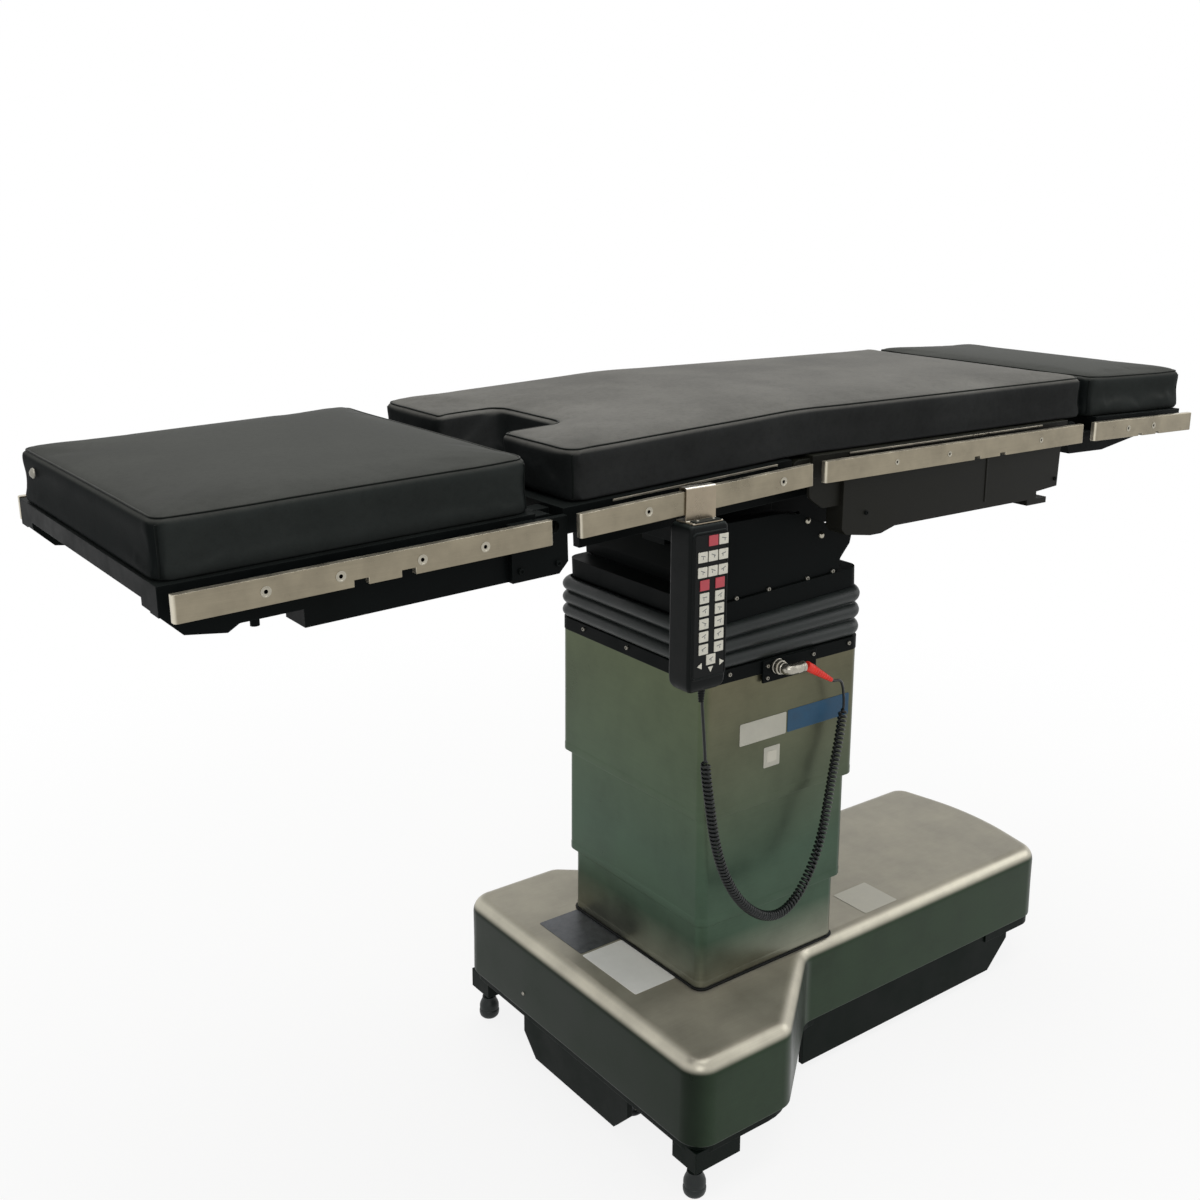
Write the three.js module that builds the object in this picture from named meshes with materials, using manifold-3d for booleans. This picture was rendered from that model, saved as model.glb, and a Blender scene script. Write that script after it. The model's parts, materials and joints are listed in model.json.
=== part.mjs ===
// A mobile surgical table: a wheeled base with floor locks, a telescoping column with three shrouds,
// a tilting head, and a top in four hinged sections with pads, accessory rails and a corded hand control.
// Millimetres, +Z up. +X points to the head end and -Y to the side that carries the hand control.
// The origin is on the floor, in the middle of the table's length and width.
import * as THREE from "three";
import { mergeVertices } from "three/addons/utils/BufferGeometryUtils.js";
import Module from "manifold-3d";

const wasm = await Module();
wasm.setup();

// Fits that the whole table shares
const fitGap = 0.3;
const slideGap = 0.4;
const cutOverrun = 5;

// Pose of the top, as slopes in degrees, head end up
const seatSlope = 2.7;
const legSlopeFromSeat = -0.9;
const backSlopeFromSeat = -3;
const headSlopeFromBack = -1.3;

// Heights of the top and its tilting axes
const columnHeadBottom = 755;
const columnHeadThickness = 21;
const trendAxisRise = 169;
const trendAxisHeight = columnHeadBottom + columnHeadThickness + trendAxisRise;
const sectionLineRise = 143;
const sectionLineHeight = trendAxisHeight + sectionLineRise;
const rollAxisDrop = 85;

// Places along the top, from the column's centre line
const legHingeX = -487;
const backHingeX = -46;
const headHingeX = 606;

// Pads, set in from the decks that carry them
const deckHalfWidth = 262;
const padSetIn = 4;
const padHalfWidth = deckHalfWidth - padSetIn;
const padHeight = 76;
const padRise = 19;
const padEdgeRadius = 13;
const padCornerRadius = 26;
const padCrown = 5;
const padPullIn = 4;
const legPadFootX = -984;
const legPadSeatX = -503;
const torsoPadFootX = -449;
const torsoPadHeadX = 642;
const headPadBackX = 648;
const headPadHeadX = 946;
const flexHalfLength = 90;
const cutoutHalfWidth = 81;
const cutoutDepth = 103;

// Accessory rails, with their notches and spacers as shares of a rail's length
const railStandOff = 23;
const railThickness = 10;
const railOuterY = deckHalfWidth + railStandOff + railThickness;
const railHeight = 32;
const legRailFootX = -979;
const legRailSeatX = -503;
const seatRailFootX = -462;
const seatRailHeadX = -54;
const backRailFootX = -30;
const backRailHeadX = 588;
const headRailFootX = 621;
const headRailHeadX = 920;
const legRailSpan = [legRailFootX, legRailSeatX];
const seatRailSpan = [seatRailFootX, seatRailHeadX];
const backRailSpan = [backRailFootX, backRailHeadX];
const headRailSpan = [headRailFootX, headRailHeadX];
const legNotchWidth = 18;
const legNotchDepth = 8;
const legNotchShares = [0.45, 0.576];
const backNotchWidth = 14;
const backNotchDepth = 5;
const backNotchShares = [0.549, 0.65];
const headNotchWidth = 11;
const headNotchDepth = 4;
const headNotchShares = [0.458, 0.639];
const legSpacerShares = [0.221, 0.408, 0.624, 0.805];
const seatSpacerShares = [0.28, 0.88];
const backSpacerShares = [0.243, 0.502, 0.761];
const headSpacerShares = [0.264, 0.799];
const spacerLength = 20;
const spacerHeight = 18;

// Section frames: deck plates, side beams and hinge knuckles
const deckBottom = 5;
const deckTop = padRise - fitGap;
const beamWidth = 26;
const beamInnerY = deckHalfWidth - beamWidth;
const beamBottom = -16;
const knuckleRadius = 14;
const hingePinRadius = 8;
const knuckleWidth = 24;
const knuckleSetIn = 6;
const knuckleGap = 3;
const childKnuckleY = deckHalfWidth - knuckleSetIn - knuckleWidth;
const parentKnuckleY = childKnuckleY - knuckleGap - knuckleWidth;
const frameEndReach = 21;

// Leg section frame
const legFrameFootX = legPadFootX;
const legPanelThickness = 52;
const legPanelInnerY = deckHalfWidth - legPanelThickness;
const legPanelSeatX = -532;
const legPanelStepX = -822;
const legPanelDepth = 62;
const legShallowDepth = 40;
const legTipDepth = 48;
const legTipX = -911;
const legTipRise = 14;
const legEndBeamLength = 14;
const legCheekThickness = 9.4;
const legCheekInnerY = deckHalfWidth + fitGap + fitGap;
const legCheekOuterY = legCheekInnerY + legCheekThickness;
const legCheekFoot = -64;
const legCheekHead = 20;
const legCheekTop = 12;
const legCheekChamfer = 14;
const releasePinX = -870;
const releasePinY = -beamInnerY;
const releasePinRadius = 5.5;
const releasePinLength = 34;
const releasePinShown = 15;

// Seat section frame
const seatWallSetIn = 5;
const seatWallOuterY = parentKnuckleY - seatWallSetIn;
const seatWallThickness = 14;
const seatWallDepth = 60;
const seatWallFootX = -400;
const seatWallHeadX = 58;
const seatWallTipTop = -36;

// Roll cradle and spine under the seat
const cradleFootX = -150;
const cradleHeadX = 54;
const cradleHalfWidth = 90;
const cradleCheek = 13;
const cradleTop = -38;
const cradleDeck = 14;
const cradleBottom = -124;
const cradleEndWall = 24;
const cradleArmHeadX = 205;
const cradleArmHalfWidth = 86;
const cradleArmRootTop = -62;
const cradleArmTipTop = -120;
const cradleArmBottom = -154;
const cradleArmStepX = 132;
const cradleArmChamfer = 15;
const spineFootX = -335;
const spineHalfWidth = 78;
const spineDepth = 40;

// Back section frame and its side housings
const backHousingOverhang = 8;
const backHousingOuterY = deckHalfWidth + backHousingOverhang;
const backHousingFootX = 34;
const backHousingFootCut = 9;
const backHousingHeadX = 562;
const backHousingDepth = 107;
const backBumpDepth = 115;
const backBumpX = 96;
const backBumpEndX = 150;
const backFootChamfer = 24;
const backHookX = 478;
const backHookEndX = 530;
const backHookDepth = 117;
const backHookSlotX = 502;
const backHookSlotTop = 95;
const backHookSlotBottom = 107;
const backHeadCornerDepth = 91;
const backFrameHeadX = 586;

// Head section frame
const headFrameFootX = 668;
const headArmTop = -6;
const headFrameHeadX = 930;
const headPanelSetIn = 32;
const headPanelInnerY = childKnuckleY - headPanelSetIn;
const headPanelThickness = 28;
const headPanelFootX = 629;
const headPanelDepth = 50;
const headPanelFlatX = 745;
const headPanelEndDepth = 18;

// Column shrouds, outside sizes of the lowest one and the step to each larger one
const lowerShroudHalfX = 149;
const lowerShroudHalfY = 172;
const shroudStep = 8;
const shroudWall = 2.5;
const shroudCornerRadius = 16;
const shroudLip = 10;
const lowerShroudTop = 450;
const middleShroudBottom = 352;
const middleShroudTop = 562;
const topShroudBottom = 536;
const columnHeadOverhang = 3;

// Mast and ram inside the shrouds
const mastHalf = 60;
const mastWall = 8;
const mastBottom = 34;
const mastTop = 440;
const mastFlangeHalf = 88;
const mastFlangeThickness = 10;
const ramWall = 8;
const ramBottom = 320;

// Tilt post, yoke and shafts
const postHalfX = 24;
const postHalfY = 36;
const postFootHalfX = 75;
const postFootHalfY = 60;
const postFootThickness = 13;
const trendPinRadius = 15;
const bellowsTopDrop = 93;
const bellowsTop = trendAxisHeight - bellowsTopDrop;
const ringThickness = 32;
const ringHalfX = 160;
const ringHalfY = 184;
const ringCornerRadius = 22;
const yokeBaseHalfX = 122;
const yokeBaseHalfY = 165;
const yokeBaseDrop = 40;
const yokeShoulderDrop = 5;
const yokeShoulderHalfX = 100;
const yokeNeckHalfY = 56;
const yokeNeckFootX = -118;
const yokeNeckHeadX = 24;
const yokePocketHalfX = 92;
const yokePocketAxisHalfX = 30;
const yokePocketTopHalfX = 25;
const yokePocketHalfY = 38;
const yokePocketRise = 26;
const rollShaftRadius = 20;
const rollBearingRadius = 28;

// Side plates of the yoke, an outline in shares of the base's half length and of the plates' rise
const yokePlateInnerY = 158;
const yokePlateOuterY = 180;
const yokePlateRise = 55;
const yokePlateShares = [
  [-1, -1.18], [0.92, -1.18], [0.95, -0.87], [0.97, -0.64], [1.05, -0.45], [1.14, -0.24], [1.17, -0.02],
  [0.98, 0.27], [0.66, 0.53], [0.25, 0.89], [-0.08, 1], [-1, 1],
];

// Bellows
const bellowsHalfX = 160;
const bellowsHalfY = 181;
const bellowsFold = 13;
const bellowsFolds = 3;
const bellowsBore = 10;
const bellowsCornerRadius = 18;

// Base cover
const coverBottom = 98;
const coverTop = 237;
const coverWall = 3;
const coverEdgeRadius = 26;
const coverCornerRadius = 40;
const coverFootX = -282;
const coverWideX = -93;
const coverSlantX = 79;
const coverHeadX = 708;
const coverHeadBow = 38;
const coverBowReach = 100;
const coverWideHalfY = 325;
const coverNarrowHalfY = 183;

// Chassis
const chassisInset = 7;
const chassisThickness = 15;
const skirtWall = 9;
const skirtBottom = 15;
const footSkirtX = -272;
const footSkirtHalfY = 148;
const footSkirtChamfer = 36;
const sideSkirtHalfY = 176;
const sideSkirtFootX = 84;
const sideSkirtHeadX = 632;
const sideSkirtSlope = 52;
const endSkirtX = 560;
const lockHousingX = -274;
const lockHousingLength = 88;
const lockHousingInnerY = 262;
const lockHousingOuterY = 317;
const lockHousingBottom = 56;

// Floor locks
const lockFootX = -254;
const lockFootY = 292;
const lockHeadX = 522;
const lockHeadY = 132;
const lockPadRadius = 18;
const lockPadHeight = 38;
const lockNeckRadius = 12;
const lockStemTop = 126;

// Casters
const casterFootX = -196;
const casterFootY = 92;
const casterHeadX = 410;
const casterHeadY = 104;
const casterWheelRadius = 30;
const casterWheelWidth = 24;
const casterLift = 3;
const casterTrail = 18;
const casterAxleRadius = 5;
const casterForkCheek = 4;
const casterForkPlate = 9;
const casterForkHalfWidth = 11;
const casterStemRadius = 11;
const casterStemTop = 91;

// Pump unit in the base
const pumpFootX = 150;
const tankLength = 170;
const tankHalfWidth = 82;
const tankHeight = 112;
const motorLength = 140;
const motorRadius = 46;

// Connector for the hand control
const connectorX = -26;
const connectorRise = 9;
const connectorHeight = columnHeadBottom + connectorRise;
const connectorPlateFootX = -54;
const connectorPlateHeadX = 60;
const connectorPlateDrop = 15;
const connectorPlateBottom = columnHeadBottom - connectorPlateDrop;
const connectorPlateHeight = 35.5;
const connectorPlateTop = connectorPlateBottom + connectorPlateHeight;
const connectorPlateThickness = 4;
const socketRadius = 12;
const socketLength = 17;
const plugRadius = 9;
const plugReach = 33;
const bootLength = 68;
const bootRadius = 7.5;
const bootTipRadius = 3.6;
const bootDrop = 36;

// Hand control
const controlX = -273.5;
const controlHalfWidth = 33.5;
const controlHalfDepth = 23;
const controlFrontY = -railOuterY - controlHalfDepth;
const controlBackY = -railOuterY + controlHalfDepth;
const controlDrop = 41;
const controlHeight = 235;
const controlTop = sectionLineHeight - controlDrop;
const controlBottom = controlTop - controlHeight;
const controlEdge = 5;
const keypadHalfWidth = 27;
const keypadDrop = 17;
const keypadHeight = 194;
const keypadTop = controlTop - keypadDrop;
const keypadBottom = keypadTop - keypadHeight;
const keypadThickness = 1.6;
const hookHalfWidth = 26;
const hookThickness = 2.4;
const hookSeatGap = 0.45;
const hookLipDrop = 5.5;
const hookFootBackY = controlBackY - controlEdge;

// Curly cord: the wire, its curls and the line that they follow
const wireDiameter = 4.5;
const curlRadius = 5.7;
const curlCount = 66;
const curlSteps = 8;
const wireSides = 5;
const tailSides = 8;
const coilFootX = -259;
const coilFootY = -300;
const coilHeadX = 110;
const coilHeadY = -211;
const tailTopX = -266;
const tailTopY = -297;
const upperCoilEnd = 480;
const hangPoints = [
  [-259, 702], [-255, 676], [-247, 638], [-231, 570], [-209, 514], [-177, 463], [-137, 421], [-92, 391],
  [-50, 379], [-14, 386], [18, 408], [44, 440], [63, 480], [76, 529], [86, 572], [98, 616], [110, 656],
];
const plugTailPoints = [
  [90, -220, 715], [99, -217, 702], [105, -214, 685], [109, -212, 668], [110, -211, 656],
];

const degrees = Math.PI / 180;
const halfTurn = Math.PI;
const half = 0.5;
const rollAxisLocal = sectionLineHeight - rollAxisDrop - trendAxisHeight;
const fromTrend = (height) => height - trendAxisHeight;

// Materials
const vinyl = new THREE.MeshStandardMaterial({ color: "#3c3d3a", roughness: 0.55 });
const steel = new THREE.MeshStandardMaterial({ color: "#8d8775", roughness: 0.32, metalness: 0.9 });
const brightSteel = new THREE.MeshStandardMaterial({ color: "#b9b4a6", roughness: 0.25, metalness: 0.95 });
const casting = new THREE.MeshStandardMaterial({ color: "#1d1f1f", roughness: 0.6, metalness: 0.2 });
const rubber = new THREE.MeshStandardMaterial({ color: "#222526", roughness: 0.75 });
const plastic = new THREE.MeshStandardMaterial({ color: "#1b1c1d", roughness: 0.5 });
const keypadFilm = new THREE.MeshStandardMaterial({ color: "#2a2b2b", roughness: 0.5 });
const bootPlastic = new THREE.MeshStandardMaterial({ color: "#b0201c", roughness: 0.5 });
const tyre = new THREE.MeshStandardMaterial({ color: "#3a3c3e", roughness: 0.8 });

// Solids and meshes

function solidOf(geometry) {
  geometry.deleteAttribute("normal");
  geometry.deleteAttribute("uv");
  const merged = mergeVertices(geometry);
  return new wasm.Manifold(new wasm.Mesh({
    numProp: 3,
    vertProperties: new Float32Array(merged.attributes.position.array),
    triVerts: new Uint32Array(merged.index.array),
  }));
}

function geometryOf(solid) {
  const shape = solid.getMesh();
  const geometry = new THREE.BufferGeometry();
  geometry.setAttribute("position", new THREE.BufferAttribute(new Float32Array(shape.vertProperties), 3));
  geometry.setIndex(new THREE.BufferAttribute(new Uint32Array(shape.triVerts), 1));
  const flat = geometry.toNonIndexed();
  flat.computeVertexNormals();
  return flat;
}

function piece(name, solid, material) {
  const mesh = new THREE.Mesh(geometryOf(solid), material);
  mesh.name = name;
  return mesh;
}

function join(...solids) {
  return solids.reduce((whole, next) => whole.add(next));
}

function cut(solid, ...tools) {
  return tools.reduce((whole, next) => whole.subtract(next), solid);
}

function block([x0, x1], [y0, y1], [z0, z1]) {
  const geometry = new THREE.BoxGeometry(x1 - x0, y1 - y0, z1 - z0);
  return solidOf(geometry.translate((x0 + x1) * half, (y0 + y1) * half, (z0 + z1) * half));
}

// The same block on both sides of the middle plane y = 0, given by its inner and outer distance from it.
function blockPair(xs, [inner, outer], zs) {
  return join(block(xs, [inner, outer], zs), block(xs, [-outer, -inner], zs));
}

// A round bar along an axis, from one end to the other.
function rod(axis, [from, to], radius, centre, sides = 24) {
  const geometry = new THREE.CylinderGeometry(radius, radius, to - from, sides);
  const middle = (from + to) * half;
  if (axis === "x") geometry.rotateZ(-halfTurn * half);
  if (axis === "z") geometry.rotateX(halfTurn * half);
  if (axis === "x") geometry.translate(middle, centre[0], centre[1]);
  if (axis === "y") geometry.translate(centre[0], middle, centre[1]);
  if (axis === "z") geometry.translate(centre[0], centre[1], middle);
  return solidOf(geometry);
}

// An outline in X and Z, pushed along Y.
function sidePanel(points, [y0, y1]) {
  const shape = new THREE.Shape(points.map(([x, z]) => new THREE.Vector2(x, z)));
  const geometry = new THREE.ExtrudeGeometry(shape, { depth: y1 - y0, bevelEnabled: false });
  return solidOf(geometry.rotateX(halfTurn * half).translate(0, y1, 0));
}

function sidePanelPair(points, [inner, outer]) {
  return join(sidePanel(points, [inner, outer]), sidePanel(points, [-outer, -inner]));
}

// A plan outline in X and Y, pushed along Z.
function planSlab(shape, [z0, z1], segments = 4) {
  const geometry = new THREE.ExtrudeGeometry(shape, {
    depth: z1 - z0,
    bevelEnabled: false,
    curveSegments: segments,
  });
  return solidOf(geometry.translate(0, 0, z0));
}

function roundedRectangle([x0, x1], [y0, y1], radius) {
  const shape = new THREE.Shape();
  shape.moveTo(x0 + radius, y0);
  shape.lineTo(x1 - radius, y0);
  shape.absarc(x1 - radius, y0 + radius, radius, -halfTurn * half, 0);
  shape.lineTo(x1, y1 - radius);
  shape.absarc(x1 - radius, y1 - radius, radius, 0, halfTurn * half);
  shape.lineTo(x0 + radius, y1);
  shape.absarc(x0 + radius, y1 - radius, radius, halfTurn * half, halfTurn);
  shape.lineTo(x0, y0 + radius);
  shape.absarc(x0 + radius, y0 + radius, radius, halfTurn, halfTurn + halfTurn * half);
  return shape;
}

// A closed skin through rings of points, each ring with as many points as the next, capped at both ends.
function skinOf(rings, closed = false) {
  const sides = rings[0].length;
  const points = rings.flat();
  const faces = [];
  const strips = closed ? rings.length : rings.length - 1;
  for (let r = 0; r < strips; r++) {
    const here = r * sides;
    const there = ((r + 1) % rings.length) * sides;
    for (let s = 0; s < sides; s++) {
      const next = (s + 1) % sides;
      faces.push(here + s, here + next, there + next, here + s, there + next, there + s);
    }
  }
  if (!closed) {
    const last = (rings.length - 1) * sides;
    for (let s = 1; s < sides - 1; s++) {
      faces.push(0, s + 1, s);
      faces.push(last, last + s, last + s + 1);
    }
  }
  const geometry = new THREE.BufferGeometry();
  geometry.setAttribute("position", new THREE.Float32BufferAttribute(points.flat(), 3));
  geometry.setIndex(faces);
  const solid = solidOf(geometry);
  if (solid.volume() > 0) return solid;
  for (let f = 0; f < faces.length; f += 3) [faces[f + 1], faces[f + 2]] = [faces[f + 2], faces[f + 1]];
  geometry.setIndex(faces);
  return solidOf(geometry);
}

// A block that narrows from one level to the next.
function taper([bottomX, bottomY, bottomZ], [topX, topY, topZ]) {
  const ring = (xs, ys, z) => [[xs[0], ys[0], z], [xs[1], ys[0], z], [xs[1], ys[1], z], [xs[0], ys[1], z]];
  return skinOf([ring(bottomX, bottomY, bottomZ), ring(topX, topY, topZ)]);
}

// A tube of a few sides along a line of points, without twist, from one point's number to another's.
// Its ends are square to the whole line and stop a fit gap short of the next stretch.
function tubeOf(line, radius, sides, [first, last] = [0, line.length - 1]) {
  const at = line.map((p) => p.clone());
  const direction = (i) => at[Math.min(i + 1, at.length - 1)].clone().sub(at[Math.max(i - 1, 0)]).normalize();
  let side = new THREE.Vector3(0, 1, 0).cross(direction(0)).normalize();
  const rings = at.map((point, i) => {
    const ahead = direction(i);
    side = side.sub(ahead.clone().multiplyScalar(side.dot(ahead))).normalize();
    const across = side.clone();
    const up = ahead.clone().cross(across);
    const centre = point.clone().addScaledVector(ahead, i === last ? -fitGap : 0);
    return Array.from({ length: sides }, (_, s) => {
      const turn = (s / sides) * 2 * halfTurn;
      return centre.clone()
        .addScaledVector(across, Math.cos(turn) * radius)
        .addScaledVector(up, Math.sin(turn) * radius)
        .toArray();
    });
  });
  return skinOf(rings.slice(first, last + 1));
}

// Base cover and chassis

// The plan of the base. Its head end bows out round a corner of its own, with a longer reach.
function baseOutline(inset) {
  const bowTip = 4;
  const points = [
    [coverFootX + inset, -coverWideHalfY + inset],
    [coverWideX - inset * half, -coverWideHalfY + inset],
    [coverSlantX - inset * half, -coverNarrowHalfY + inset],
    [coverHeadX - inset, -coverNarrowHalfY + inset],
    [coverHeadX + coverHeadBow - inset, 0],
    [coverHeadX - inset, coverNarrowHalfY - inset],
    [coverSlantX - inset * half, coverNarrowHalfY - inset],
    [coverWideX - inset * half, coverWideHalfY - inset],
    [coverFootX + inset, coverWideHalfY - inset],
  ].map(([x, y]) => new THREE.Vector2(x, y));
  const shape = new THREE.Shape();
  points.forEach((corner, i) => {
    const before = points[(i + points.length - 1) % points.length];
    const after = points[(i + 1) % points.length];
    const reach = i === bowTip ? coverBowReach : coverCornerRadius - inset;
    const start = corner.clone().add(before.clone().sub(corner).setLength(reach));
    const end = corner.clone().add(after.clone().sub(corner).setLength(reach));
    if (i === 0) shape.moveTo(start.x, start.y);
    else shape.lineTo(start.x, start.y);
    shape.quadraticCurveTo(corner.x, corner.y, end.x, end.y);
  });
  return shape;
}

// The cover's plan, pushed up with a rounded top edge.
function coverBody(inset, bottom, top) {
  const radius = coverEdgeRadius - inset;
  const geometry = new THREE.ExtrudeGeometry(baseOutline(inset), {
    depth: top - radius - bottom,
    bevelThickness: radius,
    bevelSize: radius,
    bevelOffset: -radius,
    bevelSegments: 4,
    curveSegments: 4,
  });
  const body = solidOf(geometry.translate(0, 0, bottom));
  const reach = coverHeadX + coverHeadBow + cutOverrun;
  return cut(body, block([-reach, reach], [-reach, reach], [bottom - radius - cutOverrun, bottom]));
}

function baseCover() {
  const shell = cut(
    coverBody(0, coverBottom, coverTop),
    coverBody(coverWall, coverBottom - cutOverrun, coverTop - coverWall),
  );
  const mastHole = mastHalf + fitGap;
  const hole = block([-mastHole, mastHole], [-mastHole, mastHole], [coverBottom, coverTop + cutOverrun]);
  return piece("base_cover", cut(shell, hole), steel);
}

const chassisTop = coverBottom - fitGap;
const chassisBottom = chassisTop - chassisThickness;

const lockPlaces = [
  [lockFootX, -lockFootY], [lockFootX, lockFootY], [lockHeadX, -lockHeadY], [lockHeadX, lockHeadY],
];
const casterPlaces = [
  [casterFootX, -casterFootY], [casterFootX, casterFootY],
  [casterHeadX, -casterHeadY], [casterHeadX, casterHeadY],
];

function chassis() {
  const deck = planSlab(baseOutline(chassisInset), [chassisBottom, chassisTop]);
  const into = chassisBottom + chassisThickness * half;
  const footSkirt = solidOf(
    new THREE.ExtrudeGeometry(
      new THREE.Shape([
        [-footSkirtHalfY, into],
        [-footSkirtHalfY, skirtBottom + footSkirtChamfer],
        [-footSkirtHalfY + footSkirtChamfer, skirtBottom],
        [footSkirtHalfY - footSkirtChamfer, skirtBottom],
        [footSkirtHalfY, skirtBottom + footSkirtChamfer],
        [footSkirtHalfY, into],
      ].map(([y, z]) => new THREE.Vector2(y, z))),
      { depth: skirtWall, bevelEnabled: false },
    ).rotateX(halfTurn * half).rotateZ(halfTurn * half).translate(footSkirtX, 0, 0),
  );
  const sideSkirts = sidePanelPair([
    [sideSkirtFootX, into],
    [sideSkirtFootX, skirtBottom],
    [sideSkirtHeadX - sideSkirtSlope, skirtBottom],
    [sideSkirtHeadX, skirtBottom + sideSkirtSlope],
    [sideSkirtHeadX, into],
  ], [sideSkirtHalfY - skirtWall, sideSkirtHalfY]);
  const across = sideSkirtHalfY - skirtWall * half;
  const endSkirt = block([endSkirtX, endSkirtX + skirtWall], [-across, across], [skirtBottom, into]);
  const housings = blockPair(
    [lockHousingX, lockHousingX + lockHousingLength],
    [lockHousingInnerY, lockHousingOuterY],
    [lockHousingBottom, into],
  );
  const headHousings = lockPlaces.slice(2).map((place) =>
    rod("z", [lockHousingBottom, into], lockPadRadius, place));
  const stems = lockPlaces.map((place) =>
    rod("z", [skirtBottom, chassisTop + cutOverrun], lockNeckRadius + fitGap, place));
  const sockets = casterPlaces.map((place) =>
    rod("z", [chassisBottom - cutOverrun, casterStemTop + fitGap], casterStemRadius + fitGap, place));
  const mastHole = mastHalf + fitGap;
  const well = block([-mastHole, mastHole], [-mastHole, mastHole], [skirtBottom, chassisTop + cutOverrun]);
  const body = join(deck, footSkirt, sideSkirts, endSkirt, housings, ...headHousings);
  return piece("chassis", cut(body, well, ...stems, ...sockets), casting);
}

// The pump that lifts the column and tilts the top: a tank with its motor, on the chassis under the cover.
function hydraulicUnit() {
  const low = chassisTop + fitGap;
  const tank = block(
    [pumpFootX, pumpFootX + tankLength],
    [-tankHalfWidth, tankHalfWidth],
    [low, low + tankHeight],
  );
  const motorXs = [pumpFootX + tankLength - cutOverrun, pumpFootX + tankLength + motorLength];
  const motor = rod("x", motorXs, motorRadius, [0, low + motorRadius], 20);
  return piece("hydraulic_unit", join(tank, motor), casting);
}

function floorLockFoot(name, [x, y]) {
  const profile = [
    [0, 0],
    [lockPadRadius - wireDiameter, 0],
    [lockPadRadius, wireDiameter],
    [lockPadRadius, lockPadHeight - lockPadRadius * half],
    [lockNeckRadius, lockPadHeight],
    [lockNeckRadius, lockStemTop],
    [0, lockStemTop],
  ].map(([r, z]) => new THREE.Vector2(r, z));
  const foot = solidOf(new THREE.LatheGeometry(profile, 16).rotateX(halfTurn * half));
  const mesh = piece(name, foot, rubber);
  mesh.position.set(x, y, 0);
  return mesh;
}

// A caster stands at its swivel axis, with the wheel trailing towards the foot end.
const casterAxleHeight = casterLift + casterWheelRadius;

function casterFork(name, [x, y]) {
  const plateTop = chassisBottom - fitGap;
  const plateBottom = plateTop - casterForkPlate;
  const inner = casterWheelWidth * half + slideGap;
  const outer = inner + casterForkCheek;
  const cheekXs = [-casterTrail - casterForkHalfWidth, -casterTrail + casterForkHalfWidth];
  const crown = block(
    [cheekXs[0], casterStemRadius + casterForkCheek],
    [-outer, outer],
    [plateBottom, plateTop],
  );
  const cheeks = blockPair(cheekXs, [inner, outer], [casterAxleHeight - casterForkHalfWidth, plateTop]);
  const axle = rod("y", [-outer, outer], casterAxleRadius, [-casterTrail, casterAxleHeight], 12);
  const stem = rod("z", [plateBottom, casterStemTop], casterStemRadius, [0, 0], 16);
  const mesh = piece(name, join(crown, cheeks, axle, stem), brightSteel);
  mesh.position.set(x, y, 0);
  return mesh;
}

function casterWheel(name, [x, y]) {
  const side = casterWheelWidth * half;
  const shoulder = side * half;
  const bore = casterAxleRadius + fitGap;
  const profile = [
    [bore, -side],
    [casterWheelRadius - shoulder, -side],
    [casterWheelRadius, -shoulder],
    [casterWheelRadius, shoulder],
    [casterWheelRadius - shoulder, side],
    [bore, side],
    [bore, -side],
  ].map(([r, z]) => new THREE.Vector2(r, z));
  const wheel = solidOf(new THREE.LatheGeometry(profile, 24));
  const mesh = piece(name, wheel, tyre);
  mesh.position.set(x - casterTrail, y, casterAxleHeight);
  return mesh;
}

// Column

function shroudTube(grow, [z0, z1]) {
  const x = lowerShroudHalfX + grow;
  const y = lowerShroudHalfY + grow;
  const corner = shroudCornerRadius + grow * half;
  const outer = planSlab(roundedRectangle([-x, x], [-y, y], corner), [z0, z1]);
  const [ix, iy] = [x - shroudWall, y - shroudWall];
  const inner = roundedRectangle([-ix, ix], [-iy, iy], corner - shroudWall);
  return cut(outer, planSlab(inner, [z0 - cutOverrun, z1 + cutOverrun]));
}

// A lip round the top of a shroud that guides the next larger one.
function shroudGuide(grow, top) {
  const reach = shroudStep - shroudWall - slideGap;
  const outerX = lowerShroudHalfX + grow + reach;
  const outerY = lowerShroudHalfY + grow + reach;
  const innerX = lowerShroudHalfX + grow - shroudWall;
  const innerY = lowerShroudHalfY + grow - shroudWall;
  const corner = shroudCornerRadius + grow * half;
  const levels = [top - shroudLip, top];
  const outline = roundedRectangle([-outerX, outerX], [-outerY, outerY], corner + reach * half);
  const hole = roundedRectangle([-innerX, innerX], [-innerY, innerY], corner - shroudWall);
  return cut(planSlab(outline, levels), planSlab(hole, [levels[0] - cutOverrun, levels[1] + cutOverrun]));
}

function lowerShroud() {
  const tube = shroudTube(0, [coverTop + fitGap, lowerShroudTop]);
  return piece("lower_shroud", join(tube, shroudGuide(0, lowerShroudTop)), steel);
}

function middleShroud() {
  const tube = shroudTube(shroudStep, [middleShroudBottom, middleShroudTop]);
  return piece("middle_shroud", join(tube, shroudGuide(shroudStep, middleShroudTop)), steel);
}

function topShroud() {
  return piece("top_shroud", shroudTube(2 * shroudStep, [topShroudBottom, columnHeadBottom - fitGap]), steel);
}

function lowerMast() {
  const tube = block([-mastHalf, mastHalf], [-mastHalf, mastHalf], [mastBottom, mastTop]);
  const flangeBottom = coverBottom;
  const flange = block(
    [-mastFlangeHalf, mastFlangeHalf],
    [-mastFlangeHalf, mastFlangeHalf],
    [flangeBottom, flangeBottom + mastFlangeThickness],
  );
  const bore = mastHalf - mastWall;
  const hollow = block([-bore, bore], [-bore, bore], [mastBottom - cutOverrun, mastTop + cutOverrun]);
  return piece("lower_mast", cut(join(tube, flange), hollow), casting);
}

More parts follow.
